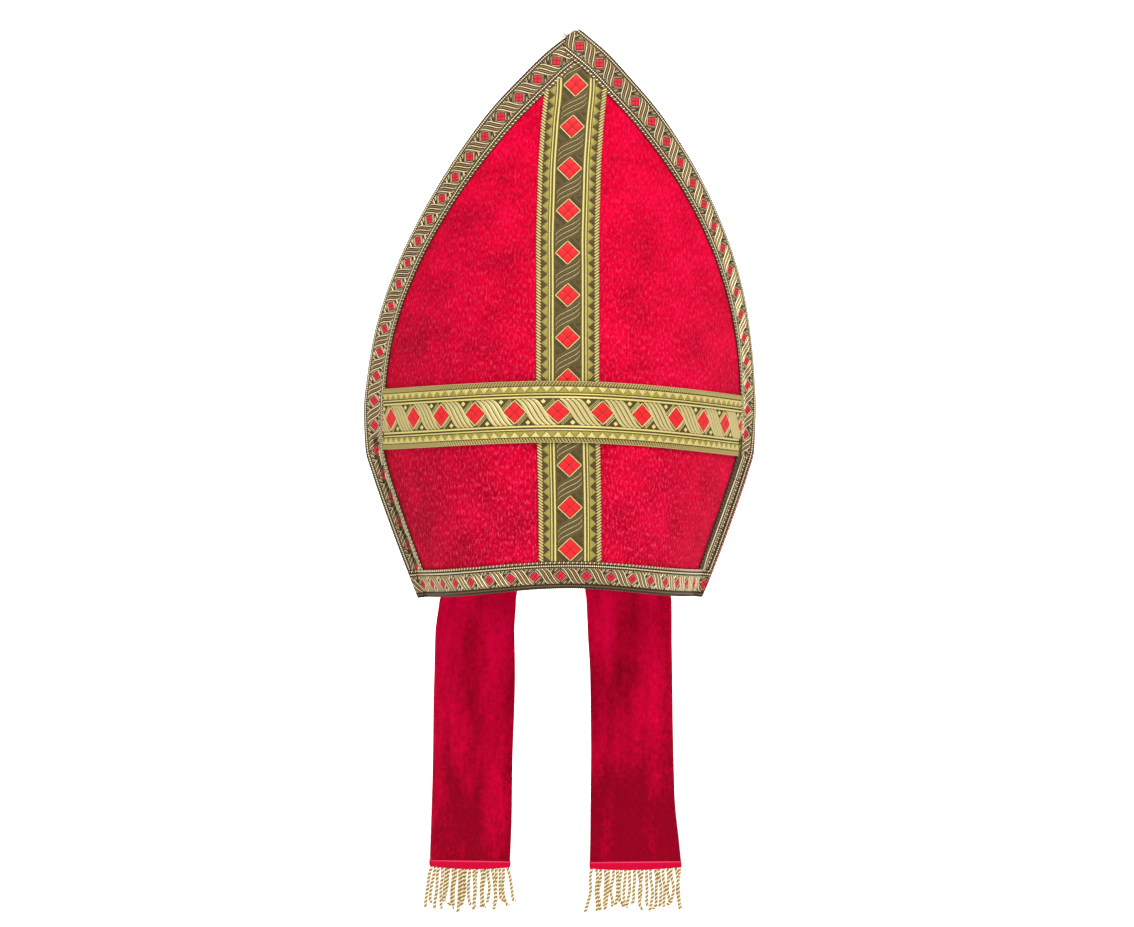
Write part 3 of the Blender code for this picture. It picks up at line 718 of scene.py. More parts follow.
def addTeeth(parts, sign, pitch):  # two interlocking rows and the zigzag between them
    tooth = pitch / wide["teeth"]
    low = sign * wide["toothIn"]
    high = sign * wide["toothOut"]
    for k in range(wide["teeth"]):
        x = -pitch / 2 + k * tooth
        inner = ((x + 0.3 * mm, low), (x + tooth - 0.3 * mm, low), (x + tooth / 2, high - sign * 0.4 * mm))
        outer = ((x - tooth / 2 + 0.35 * mm, high), (x + tooth / 2 - 0.35 * mm, high),
                 (x, low + sign * 0.5 * mm))
        parts["innerTooth"].pad(inner[::sign], 0.28 * mm, 0.10)
        parts["outerTooth"].pad(outer[::sign], 0.34 * mm, 0.12)
        foot = low + sign * 0.1 * mm
        for ends in ((x, foot, x + tooth / 2, high), (x + tooth / 2, high, x + tooth, foot)):
            parts["outline"].bar(straight(*ends, 3), 0.30 * mm, 0.36 * mm)


# A row of beads: role of the even and the odd ones, their ends, width and height in millimetres.
narrow = {
    "along": 3.5 * mm, "across": 4.2 * mm, "gap": 0.14 * mm, "field": 6.6 * mm, "strands": 5,
    "firstStrand": 0.310, "strandStep": 0.095, "strandRun": 0.25, "beads": 12,
    "rows": (
        ("light", "light", (-0.38, 8.20, 0.38, 8.50), 1.25, 0.44),
        ("strand", "light", (-0.42, 10.3, 0.30, 11.75), 0.78, 0.40),
        ("rib", "rib", (-0.3, 6.2, 0.4, 6.75), 0.42, 0.26),
    ),
    "foldedRows": (
        ("light", "light", (-0.38, 3.0, 0.38, 3.9), 0.95, 0.42),
        ("strand", "light", (-0.30, 5.9, 0.42, 4.8), 0.85, 0.40),
    ),
}


def narrowUnit(pitch):
    parts = collections.defaultdict(Relief)
    a = narrow["along"]
    b = narrow["across"]
    field = narrow["field"]
    parts["silkBack"].pad(diamond(0, 0, a * 0.94, b * 0.94), 0.16 * mm, 0.04)
    addChecks(parts["silk"], a, b, narrow["gap"], 0.40 * mm, 0.15)
    addFrame(parts["light"], a * 1.16, b * 1.16, 0.3 * mm, 0.3 * mm, 3, 0.36 * mm, 0.30 * mm)
    addFrame(parts["rib"], a * 1.40, b * 1.36, 0.8 * mm, 0.9 * mm, 3, 0.30 * mm, 0.26 * mm)
    run = narrow["strandRun"] * pitch
    for k in range(narrow["strands"]):
        x = (narrow["firstStrand"] + narrow["strandStep"] * k) * pitch
        path = sCurve(x - run, field * 0.95, x + run, -field * 0.95, 9)
        parts["strand" if k % 2 else "light"].bar(path, 0.72 * mm, 0.40 * mm, taper=0.5)
    for sign in (-1, 1):
        for k in range(5):
            x = -sign * (0.20 + 0.055 * k) * pitch
            path = straight(x, sign * (4.4 - 0.3 * k) * mm, x + sign * 0.09 * pitch, sign * 6.4 * mm, 3)
            parts[("light", "rib", "dark")[k % 3]].bar(path, 0.42 * mm, 0.32 * mm)
        parts["dark"].bar(lengthwise(pitch, sign * 7.15 * mm, 6), 0.62 * mm, 0.14 * mm)
        parts["dark"].bar(lengthwise(pitch, sign * 9.55 * mm, 6), 0.72 * mm, 0.14 * mm)
        addBeads(parts, pitch, sign, narrow["rows"])
    return parts


def addBeads(parts, pitch, sign, rows):
    for k in range(narrow["beads"]):
        x = -pitch / 2 + (k + 0.5) * pitch / narrow["beads"]
        for even, odd, (x0, y0, x1, y1), width, height in rows:
            path = straight(x + x0 * mm, sign * y0 * mm, x + x1 * mm, sign * y1 * mm)
            parts[odd if k % 2 else even].bar(path, width * mm, height * mm)


def foldedUnit(pitch, sign):  # the rows that show where the braid is folded over its own middle
    parts = {role: Relief() for role in ("strand", "light", "dark")}
    parts["light"].bar(lengthwise(pitch, sign * 0.9 * mm, 6), 1.1 * mm, 0.40 * mm)
    parts["dark"].bar(lengthwise(pitch, sign * 2.1 * mm, 6), 0.62 * mm, 0.14 * mm)
    addBeads(parts, pitch, sign, narrow["foldedRows"])
    return parts


# Strips on the crown

def mirrored(points, isBack):
    return points * np.array((1.0, -1.0 if isBack else 1.0, 1.0))


def evenRows(s, level, column, out, count):  # the same rows at even steps along one column
    run = runAlong(crown.place(s[:, column], level[:, column], out))
    index = np.arange(len(run))
    at = np.interp(np.linspace(0, run[-1], count), run, index)
    grids = [np.stack([np.interp(at, index, one) for one in grid.T], axis=1) for grid in (s, level)]
    return (*grids, run[-1])


# The sheet that a strip's pattern is laid on. pointAt gives its grid of places at a lift, and
# inside how far each lies within the strip's cut ends.
def guideSheet(name, pointAt, isBack, inside, length, width):
    lift = 0.5 * mm
    low = mirrored(pointAt(0.0), isBack)
    away = (mirrored(pointAt(lift), isBack) - low) / lift
    rows, columns = inside.shape
    i = rows // 2
    j = columns // 3
    isTurned = np.dot(np.cross(low[i + 1, j] - low[i, j], low[i, j + 1] - low[i, j]), away[i, j]) < 0
    if isTurned:
        low, away, inside = low[:, ::-1], away[:, ::-1], inside[:, ::-1]
    u, v = np.meshgrid(np.linspace(0, 1, rows), np.linspace(0, 1, columns), indexing="ij")
    flat = np.stack((u.ravel(), v.ravel()), axis=1)
    mesh = meshFrom(name, low.reshape(-1, 3), gridFaces(rows, columns), flat)
    stored = mesh.attributes.new("away", "FLOAT_VECTOR", "POINT")
    stored.data.foreach_set("vector", away.astype(np.float32).ravel())
    stored = mesh.attributes.new("inside", "FLOAT", "POINT")
    stored.data.foreach_set("value", inside.astype(np.float32).ravel())
    return {"object": addObject(name, mesh), "length": length, "width": width, "isTurned": isTurned}


def addRelief(name, guide, unit, roles, pitch, start):
    count = int(guide["length"] / pitch) + 3
    return [wrapped(name + role, unit[role], guide, count, pitch, start - pitch, palette[look])
            for role, look in roles.items()]


def stripJoined(name, guide, pieces):
    bpy.data.objects.remove(guide["object"])
    return joined(name, pieces)


narrowRoles = {
    "strand": "braidStrand", "silk": "crimson", "silkBack": "crimsonDark", "light": "braidLight",
    "dark": "braidDark", "rib": "braidRib",
}
stripWidth = braid["width"] + 1.2 * mm
stripAcross = np.linspace(-0.6 * mm, braid["width"] + 0.6 * mm, 49) * (braid["shown"] / braid["width"])
middle = len(stripAcross) // 2
innerLevels = np.linspace(0.05, 1.0, 160) * crownSize["height"]
innerBorder = {side: crown.insideEdge(innerLevels, braid["face"], side) for side in (-1, 1)}


# Distance from the outline and height above the plush of a braid folded over an edge. w runs
# from the inner border to the end of the turned-in part.
def foldProfile(w, lift):
    top = crownSize["gap"] + braid["thick"]
    r = braid["corner"]
    flat = braid["face"] - r
    quarter = math.pi / 2 * r
    edge = crownSize["wall"] + 2 * top - 2 * r
    one = np.clip((w - flat) / quarter, 0, 1) * math.pi / 2
    two = np.clip((w - flat - quarter - edge) / quarter, 0, 1) * math.pi / 2
    distance = braid["face"] - np.minimum(w, flat) - r * np.sin(one) + r * (1 - np.cos(two))
    distance = distance + np.maximum(w - flat - 2 * quarter - edge, 0)
    out = top - r * (1 - np.cos(one)) - np.clip(w - flat - quarter, 0, edge) - r * np.sin(two)
    return distance - lift * np.sin(one + two), out + lift * np.cos(one + two)


# A strip's body between its two faces. rowLength, in centimetres, is only for its flat form.
def stripGround(name, skins, across, rowLength, look):
    along = np.arange(len(skins[0]))[:, None] * rowLength
    return addObject(name, slabMesh(name, *skins, along, across * 100), (palette[look],))


def foldedAcross(flatSteps, turnedSteps):
    flatEnd, foldStart = braid["fold"]
    turned = np.linspace(foldStart, braid["face"] + braid["turnedIn"], turnedSteps)
    return np.concatenate((np.linspace(0, flatEnd, flatSteps), turned))


def tipStep(distance, side):  # the way an edge braid runs on past the tip
    s, level = crown.insideEdge(np.array(braid["tipFrom"]) * crownSize["height"], distance, side)
    run = math.hypot(s[1] - s[0], level[1] - level[0])
    return (s[1] - s[0]) / run, (level[1] - level[0]) / run


def edgeRows(side, distances):
    levels = np.linspace(braid["patternFrom"], crownSize["height"], braid["patternRows"])
    past = np.arange(1, braid["pastSteps"] + 1) * braid["pastStep"]
    columns = []
    for distance in distances:
        s, level = crown.insideEdge(levels, distance, side)
        stepS, stepLevel = tipStep(distance, side)
        columns.append((np.append(s, s[-1] + past * stepS), np.append(level, level[-1] + past * stepLevel)))
    return np.array(columns).transpose(1, 2, 0)


def edgeInside(side, s, level):  # how far inside its cut ends a point of an edge braid lies
    start = level - braid["rimTop"] - crownSize["gap"]
    if side > 0:
        end = np.minimum(s + braid["tipLap"], crownSize["height"] + 0.5 * mm - level)
        end = np.minimum(end, s - crown.outline(np.minimum(level, crownSize["height"]), -1))
    else:
        border = np.interp(level, innerBorder[1][1], innerBorder[1][0]) - 2 * crownSize["gap"]
        end = np.maximum(-braid["tipLap"], border) - s + 0.2 * mm
    return np.minimum(start, end)


def tipLift(side, level):  # the right braid lies on the left one at the tip
    if side < 0:
        return 0.0
    low, high = (crownSize["height"] - below for below in braid["tipRiseOver"])
    return braid["tipRise"] * smoothStep(level, low, high)


# the crease's pressed-in shape, and in shaded and shadeEnds the band across the front edge braids and how
# far along it that gets painted shade
crease = {
    "depth": 0.0017, "middle": 0.0096, "half": 0.0023, "starts": (0.016, 0.030), "fades": (0.060, 0.112),
    "shaded": {-1: (-0.0026, 0.0022), 1: (-0.0127, -0.0050)}, "shadeEnds": 0.098,
}


def creaseDepth(level, distance, isBack):  # the low ends of the front braids are pressed in
    if isBack:
        return 0.0
    low = (1 - smoothStep(level, *crease["fades"])) * smoothStep(level, *crease["starts"])
    return crease["depth"] * low * np.exp(-((distance - crease["middle"]) / crease["half"]) ** 2)


def shadeCrease(obj, band, isTurned, reach):  # painted shade: darker copies of the braid's threads in a band of its flat form
    mesh = obj.data
    # painted shade: each thread finish and the darker finish that stands for it in shade
    darker = {"braidLight": "braidShade", "braidRib": "braidGround", "braidStrand": "braidDark"}
    names = [look.name if look else "" for look in mesh.materials]
    change = {}
    for i, name in enumerate(list(names)):
        if name in darker:
            if darker[name] not in names:
                mesh.materials.append(palette[darker[name]])
                names.append(darker[name])
            change[i] = names.index(darker[name])
    flat = np.zeros(len(mesh.loops) * 2, np.float32)
    mesh.attributes["weave"].data.foreach_get("vector", flat)
    flat = flat.reshape(-1, 2) / 100
    for face in mesh.polygons:
        if face.material_index in change:
            x, y = flat[face.loop_start:face.loop_start + face.loop_total].mean(axis=0)
            if 0 < x < reach and band[0] < (-y if isTurned else y) < band[1]:
                face.material_index = change[face.material_index]


def edgeTrim(name, side, isBack):
    distance, out = foldProfile(stripAcross, 0.0)
    s, level = edgeRows(side, distance)
    s, level, length = evenRows(s, level, middle, out[middle], braid["evenRows"])
    inside = edgeInside(side, s, level)

    def pointAt(lift):
        far, height = foldProfile(stripAcross, lift)
        raised = height + tipLift(side, level) - creaseDepth(level, distance, isBack)
        inward = (crown.place(s - side * mm, level, height) - crown.place(s, level, height)) / mm
        return crown.place(s, level, raised) + inward * (far - distance)[:, None]

    guide = guideSheet(name + "Guide", pointAt, isBack, inside, length, stripWidth)
    isTurned = guide["isTurned"]
    pieces = [edgeGround(name + "Ground", side, isBack)]
    if side > 0 and not isBack:
        folded = foldedUnit(braid["pitch"], -1 if isTurned else 1)
        count = int(braid["folded"] / braid["pitch"])
        step = braid["folded"] / count
        for role, unit in folded.items():
            look = palette[narrowRoles[role]]
            pieces.append(wrapped(name + "Folded" + role, unit, guide, count, step, step / 2, look))
        bpy.data.objects.remove(guide["object"])
        across = np.abs(np.linspace(-1, 1, len(stripAcross))) * stripWidth / 2
        beyond = np.linspace(0, length, len(inside))[:, None] - braid["folded"]
        inside = np.where(across < braid["foldedHalf"], np.minimum(inside, beyond), inside)
        guide = guideSheet(name + "Guide", pointAt, isBack, inside, length, stripWidth)
    pieces += addRelief(name, guide, narrowPattern, narrowRoles, braid["pitch"], braid["start"][side])
    if not isBack:
        pieces.append(selvageThread(name + "Selvage") if side > 0 else frayedEnd(name + "Frayed"))
    trim = stripJoined(name, guide, pieces)
    # painted shade in the crease of the front edge braids
    if not isBack:
        shadeCrease(trim, crease["shaded"][side], isTurned, crease["shadeEnds"])
    return trim


def threads(name, paths, radius, look):
    curve = curveFrom(name, paths)
    curve.bevel_depth = radius
    curve.bevel_resolution = 1
    curve.use_fill_caps = True
    mesh = plainMesh(addObject(name, curve))
    mesh.materials.clear()
    return addObject(name, mesh, (look,))


selvage = {"levels": (0.004, 0.112), "past": 0.0005, "under": 0.0010, "radius": 0.0008}


def selvageThread(name):  # the plush edge that shows behind the braid low on the right
    share = np.linspace(0, 1, 60)
    levels = selvage["levels"][0] + (selvage["levels"][1] - selvage["levels"][0]) * share
    past = selvage["past"] * np.sin(math.pi * share).clip(0) ** 0.4
    path = crown.place(crown.outline(levels, 1) + past, levels, -selvage["under"])
    return threads(name, [path], selvage["radius"], palette["crimson"])


frayed = {
    "seed": 9, "threads": 9, "radius": 0.00016, "length": (1.6, 3.6), "angle": (130, 178), "bend": 0.5,
    "s": -0.0084, "level": 0.3640, "out": 0.0012, "stepS": 0.00035, "stepLevel": 0.00028,
}


def frayedEnd(name):  # loose threads where the left braid is cut at the tip
    loose = random.Random(frayed["seed"])
    paths = []
    for k in range(frayed["threads"]):
        start = crown.place(
            frayed["s"] + frayed["stepS"] * k, frayed["level"] + frayed["stepLevel"] * k, frayed["out"])
        length = loose.uniform(*frayed["length"]) * mm
        angle = math.radians(loose.uniform(*frayed["angle"]))
        bend = loose.uniform(-frayed["bend"], frayed["bend"])
        path = []
        for t in np.linspace(0, 1, 6):
            way = angle + bend * t
            step = (math.cos(way), loose.uniform(-0.1, 0.1), math.sin(way))
            path.append(start + np.array(step) * length * t)
        paths.append(path)
    return threads(name, paths, frayed["radius"], palette["braidShade"])


def edgeGround(name, side, isBack):  # the braid's body: a closed ribbon, cut to its neighbours
    w = foldedAcross(15, 15)
    start = braid["rimTop"] + crownSize["gap"]
    levels = np.linspace(braid["bodyFrom"], braid["tipFrom"][0] * crownSize["height"], braid["bodyRows"])

    def isFree(s, level):
        if side > 0:
            return level <= crownSize["height"] and s >= max(-braid["tipLap"], crown.outline(level, -1))
        return s < max(-braid["tipLap"], np.interp(level, innerBorder[1][1], innerBorder[1][0]))

    def column(distance, out):
        s, level = crown.insideEdge(levels, distance, side)
        stepS, stepLevel = tipStep(distance, side)
        past = lastTrue(lambda t: isFree(s[-1] + t * stepS, level[-1] + t * stepLevel), -5 * mm, 60 * mm)
        below = np.linspace(1, 0, 8)[:-1]
        beyond = np.linspace(0, past, 10)[1:]
        first = crown.outline(start, side) - side * distance
        s = np.concatenate((s[0] + (first - s[0]) * below, s, s[-1] + stepS * beyond))
        first = level[0] + (start - level[0]) * below
        level = np.concatenate((first, level, level[-1] + stepLevel * beyond))
        sunk = creaseDepth(level, distance, isBack) if out > 0 else 0.0
        return crown.place(s, level, out + tipLift(side, level) - sunk)

    skins = []
    for lift in (0.0, -braid["thick"] - 0.1 * mm):
        columns = [column(distance, out) for distance, out in zip(*foldProfile(w, lift))]
        skins.append(mirrored(np.stack(columns, axis=1), isBack))
    return stripGround(name, skins, w, 0.23, "braidGround")


def rimTrim(name, isBack):
    scale = braid["rimTop"] / braid["face"]

    def rows(share, w, lift):
        distance, out = foldProfile(w, lift)
        level = np.broadcast_to(distance * scale, (len(share), len(w)))
        edge = np.where(share[:, None] < 0, -crown.outline(level, -1), crown.outline(level, 1))
        return crown.place(share[:, None] * edge, level, out)

    even = np.linspace(-1, 1, 400)
    run = runAlong(rows(even, stripAcross, 0.0)[:, middle])
    share = np.interp(np.linspace(0, run[-1], braid["rimRows"]), run, even)
    inside = np.ones((len(share), len(stripAcross)))
    guide = guideSheet(
        name + "Guide", lambda lift: rows(share, stripAcross, lift), isBack, inside, run[-1], stripWidth)
    w = foldedAcross(13, 14)
    lifts = (0.0, -braid["thick"] - 0.1 * mm)
    shares = np.linspace(-1, 1, braid["rimBodyRows"])
    skins = [mirrored(rows(shares, w, lift), isBack) for lift in lifts]
    pieces = [stripGround(name + "Ground", skins, w, 0.22, "braidGround")]
    pieces += addRelief(name, guide, narrowPattern, narrowRoles, braid["pitch"], braid["rimStart"])
    trim = stripJoined(name, guide, pieces)
    # painted shade on the down-turned lower edge of the front rim braid
    if not isBack:
        shadeCrease(trim, braid["rimShade"], guide["isTurned"], 1.0)
    return trim


narrowPattern = narrowUnit(braid["pitch"])
trims = {}
for isBack, face in ((False, "front"), (True, "back")):
    for side, name in ((-1, "left"), (1, "right")):
        node = face + "_edge_braid_" + name
        trims[node] = edgeTrim(node + "_look", side, isBack)
    node = face + "_rim_braid"
    trims[node] = rimTrim(node + "_look", isBack)
print("edge and rim braids made")


# Galloons

galloon = {
    "width": 0.040, "thick": 0.0010, "crossHeight": 0.1174, "crossTilt": 0.0021, "crossReach": 0.165,
    "uprightPitch": 0.02715, "uprightStart": 0.0076, "crossPitch": 0.0284, "crossStart": -0.0113,
    "rise": 0.0005, "slope": (0.0016, 0.013), "crossHalf": 0.157, "crossStretch": 1.02, "crossRows": 200,
    "crossBodyRows": 181, "uprightEnd": 0.352, "uprightRows": 180, "uprightBodyRows": 170,
}
galloonWidth = galloon["width"] * 1.05
galloonAcross = np.linspace(-0.525, 0.525, 43) * galloon["width"]
galloonColumns = np.linspace(-0.5, 0.5, 17) * galloon["width"]
galloonTop = crownSize["gap"] + galloon["thick"]
# painted reflection: the upright band takes the shaded copies of the gold strands, corners, stud and outer
# teeth
uprightRoles = {
    "strand": "strandShaded", "thin": "lineThin", "silk": "silk", "silkBack": "silkDark",
    "outline": "outline", "corner": "strandShaded", "stud": "toothShaded", "line": "lineLight",
    "innerTooth": "olive", "outerTooth": "toothShaded", "cord": "cord",
}
# painted reflection: the cross band takes the lit copies of the same gold threads
crossRoles = {
    "strand": "strandLit", "silk": "silk", "silkBack": "silkDark", "outline": "outline",
    "corner": "strandLit", "stud": "lineLight", "line": "lineLight", "innerTooth": "olive",
    "outerTooth": "toothLit", "cord": "cordDark", "edge": "strandLit",
}
# level, shift of the upright band's middle
uprightCourse = np.array((
    (0.000, 0.0016), (0.032, 0.0014), (0.060, 0.0010), (0.088, 0.0003), (0.148, -0.0010), (0.176, -0.0017),
    (0.208, -0.0029), (0.241, -0.0039), (0.273, -0.0039), (0.306, -0.0023), (0.335, 0.0), (0.3686, 0.0)))


def course(level):
    return smoothColumn(level, uprightCourse[:, 0], uprightCourse[:, 1])


def uprightTop(s):  # the inner border of the edge braids
    tops = {}
    for side in (-1, 1):
        lineS, lineLevel = innerBorder[side]
        order = np.argsort(lineS)
        tops[side] = np.interp(s, lineS[order], lineLevel[order])
    return np.where(s >= 0, tops[1], tops[-1]) - 0.1 * mm


def galloonStrip(name, guide, kind, roles, ground):
    pitch = galloon[kind + "Pitch"]
    pieces = [ground] + addRelief(kind, guide, wideUnit(pitch), roles, pitch, galloon[kind + "Start"])
    return stripJoined(name, guide, pieces)


def uprightTrim(name):
    bottom = braid["rimTop"] + crownSize["gap"]
    s, level = np.meshgrid(galloonAcross, np.linspace(bottom, galloon["uprightEnd"], 300))
    column = len(galloonAcross) // 2
    s, level, length = evenRows(s + course(level), level, column, 0.0, galloon["uprightRows"])

    def pointAt(lift):
        return crown.place(s, level, galloonTop + lift)

    inside = uprightTop(s) - level + 0.4 * mm
    guide = guideSheet("uprightGuide", pointAt, False, inside, length, galloonWidth)
    highest = uprightTop(galloonColumns)
    for _ in range(12):
        highest = uprightTop(galloonColumns + course(highest))
    heights = bottom + np.linspace(0, 1, galloon["uprightBodyRows"])[:, None] * (highest - bottom)
    skins = [crown.place(galloonColumns + course(heights), heights, out) for out in (galloonTop, -0.1 * mm)]
    ground = stripGround("uprightGround", skins, galloonColumns, 0.19, "groundOlive")
    return galloonStrip(name, guide, "upright", uprightRoles, ground)


def crossOut(s):  # the cross band rises over the upright one
    beyond = np.abs(s) - galloon["width"] / 2
    return galloonTop + (galloonTop + galloon["rise"]) * (1 - smoothStep(beyond, *galloon["slope"]))


def crossEnds(level, side):
    lineS, lineLevel = innerBorder[side]
    return np.interp(level, lineLevel[:110], lineS[:110]) - side * 0.1 * mm


def crossLevel(s, v):
    tilt = galloon["crossTilt"] / galloon["crossHalf"]
    return galloon["crossHeight"] + v * galloon["crossStretch"] - tilt * s


def crossTrim(name):
    line = np.linspace(-1, 1, 500) * galloon["crossReach"]
    run = runAlong(crown.place(line, crossLevel(line, 0.0), galloonTop))
    even = np.interp(np.linspace(0, run[-1], galloon["crossRows"]), run, line)
    s, v = np.meshgrid(even, galloonAcross, indexing="ij")
    level = crossLevel(s, v)

    def pointAt(lift):
        return crown.place(s, level, crossOut(s) + lift)

    inside = np.minimum(crossEnds(level, 1) - s, s - crossEnds(level, -1)) + 0.3 * mm
    guide = guideSheet("crossGuide", pointAt, False, inside, run[-1], galloonWidth)
    share = np.linspace(-1, 1, galloon["crossBodyRows"])[:, None]
    right = crossEnds(crossLevel(0.0, galloonColumns) - galloon["crossTilt"], 1)
    left = crossEnds(crossLevel(0.0, galloonColumns) + galloon["crossTilt"], -1)
    groundS = np.where(share > 0, share * right, -share * left)
    groundLevel = crossLevel(groundS, galloonColumns)
    outs = (0.0, -galloon["thick"])
    skins = [crown.place(groundS, groundLevel, crossOut(groundS) + out) for out in outs]
    ground = stripGround("crossGround", skins, galloonColumns, 0.17, "groundDark")
    return galloonStrip(name, guide, "cross", crossRoles, ground)


trims["upright_galloon"] = uprightTrim("upright_galloon_look")
trims["cross_galloon"] = crossTrim("cross_galloon_look")
print("galloons made")


# Plush panels

def panelPiece(name, isBack, rows, columns):
    inset = braid["thick"] + crownSize["gap"]
    levels = np.linspace(0, 1, rows)[:, None] ** 0.97 * crownSize["height"]
    left, leftLevel = crown.insideEdge(levels, inset, -1)
    right, rightLevel = crown.insideEdge(levels, inset, 1)
    leftLevel[0] = inset
    rightLevel[0] = inset
    share = np.linspace(-1, 1, columns)
    share = np.sign(share) * (1 - (1 - np.abs(share)) ** 1.4)
    s = np.where(share > 0, share * right, -share * left)
    level = leftLevel + (rightLevel - leftLevel) * (share + 1) / 2
    outline = np.where(s > 0, crown.outline(level, 1), -crown.outline(level, -1))
    sunk = 1.1 * creaseDepth(level, (outline - np.abs(s)) * 0.97, isBack)
    outer, inner = (mirrored(crown.place(s, level, out), isBack) for out in (-sunk, -crownSize["wall"]))
    return addObject(name, slabMesh(name, outer, inner, s * 100, level * 100), (plush,))


panels = {
    "front_panel": panelPiece("front_panel_look", False, 150, 140),
    "back_panel": panelPiece("back_panel_look", True, 110, 100),
}
print("panels made")


# Lappets

lappet = {
    "width": 0.064, "thick": 0.0026, "top": 0.045, "drop": 0.190, "seat": {-1: 0.097, 1: 0.086},
    "rise": {-1: 0.0065, 1: 0.0030}, "inside": -0.0049, "sewn": -0.0035, "hem": 0.005, "hemThick": 0.0040,
    "early": {-1: 0.0012, 1: -0.0009}, "sag": 0.0018, "groove": 0.00035,
    "waves": ((0.0009, 5.2, 1.7, 1, 1.2), (0.0005, 11.0, -2.3, 2, 1.1)),
}
# drop, shift, turn, bow
hang = {
    -1: ((-0.10, 0.000, 40.0, 0.9), (0.00, 0.000, 36.0, 0.8), (0.14, 0.045, 33.0, 0.7),
         (0.36, 0.070, 31.0, 0.5), (0.58, 0.080, 32.0, 0.5), (0.80, 0.100, 31.0, 0.6),
         (1.00, 0.120, 32.0, 0.8)),
    1: ((-0.10, 0.000, 38.0, 0.9), (0.00, 0.000, 29.0, 0.8), (0.14, 0.005, 31.0, 0.7),
        (0.30, 0.020, 33.0, 0.5), (0.53, 0.030, 33.0, 0.5), (0.75, 0.045, 31.0, 0.6),
        (0.91, 0.090, 23.0, 0.7), (1.00, 0.115, 15.0, 0.9)),
}


def lappetPoint(side, share, drop, out):
    table = np.array(hang[side])
    part = drop / lappet["drop"]
    shift, turn, bow = (smoothColumn(part, table[:, 0], table[:, i]) for i in (1, 2, 3))
    turn = np.radians(turn)
    seat = crown.place(lappet["seat"][side] + lappet["width"] / 2, 0.0, lappet["inside"])
    along = (share - 1) * lappet["width"] / 2
    back = out - bow * lappet["thick"] * share ** 2
    x = seat[0] + shift * lappet["width"] + along * np.cos(turn) + back * np.sin(turn)
    y = -seat[1] - along * np.sin(turn) + back * np.cos(turn)
    z = -drop + lappet["rise"][side] * np.maximum(part, 0) * (1 + share) / 2
    return np.stack(np.broadcast_arrays(side * x, y, z), axis=-1)


def lappetCloth(side, share, drop, out):  # a lappet with the slow waves of a hanging cloth
    part = np.clip(drop / lappet["drop"], 0, 1)
    for size, down, across, shift, end in lappet["waves"]:
        out = out + size * np.sin(down * part + across * share + shift * side) * part * (end - part)
    points = lappetPoint(side, share, drop, out)
    swing = smoothStep(drop, -3 * mm, 5 * mm) * (1 - smoothStep(drop, 10 * mm, 60 * mm))
    points[..., 0] -= lappet["early"][side] * swing
    return points


def hemSag(share):
    return lappet["sag"] * (1 - share ** 2)


def hemHalf(drop, hemTop):  # half the cloth's thickness, with the hem's seam and its rounded end
    swell = smoothStep(drop, hemTop - 0.8 * mm, hemTop + 0.4 * mm)
    groove = math.exp(-((drop - hemTop + 0.5 * mm) / (0.5 * mm)) ** 2)
    end = float(smoothStep(drop, lappet["drop"] - 1.2 * mm, lappet["drop"]))
    extra = (lappet["hemThick"] - lappet["thick"]) / 2 * swell
    return (lappet["thick"] / 2 + extra - lappet["groove"] * groove) * (1 - 0.55 * end ** 2)


def lappetRows(side, shares, isInner):
    hemTop = lappet["drop"] - lappet["hem"]
    drops = np.linspace(-0.08, 1.0, 150) * lappet["drop"]
    depth = -lappet["thick"] if isInner else 0.0
    rows = []
    for level in np.linspace(lappet["top"], lappet["top"] * 0.8, 4):
        s = lappet["seat"][side] + shares * lappet["width"] / 2
        row = mirrored(crown.place(s, level, lappet["sewn"] + depth), True)
        rows.append(row * np.array((side, 1, 1)))
    sewn = rows[-1]
    first = lappetCloth(side, shares, drops[0], depth)
    for t in np.linspace(0, 1, 12)[1:-1]:
        ease = t * t * (3 - 2 * t)
        rows.append(sewn * (1 - ease) + first * ease)
    for drop in drops:
        half = hemHalf(drop, hemTop)
        out = -lappet["thick"] / 2 + (-half if isInner else half)
        sag = hemSag(shares) * smoothStep(drop, hemTop, lappet["drop"])
        rows.append(lappetCloth(side, shares, drop + sag, out))
    return np.array(rows)


def lappetPiece(name, side):
    shares = np.linspace(-1, 1, 33)
    outer, inner = (lappetRows(side, shares, isInner) for isInner in (False, True))
    run = runAlong(outer[:, 16])
    u = shares * lappet["width"] * 50 + 60 * side
    v = (run[-1] - run)[:, None] * 100
    return addObject(name, slabMesh(name, outer, inner, u, v, 60), (lappetPlush[side],))


# Fringes

fringe = {
    "cords": 22, "length": 0.0302, "radius": 0.00060, "lay": 0.0027, "step": 0.00034, "spread": 0.96,
    "lean": {-1: (0.05, 0.13), 1: (0.0, 0.06)}, "seed": {-1: 31, 1: 57}, "sway": 0.06, "bend": 0.05,
    "wriggle": 0.02, "depth": 0.0016, "lengths": (0.84, 1.05), "layer": 0.0009, "curl": 0.0009,
    "curlFrom": 0.78,
}


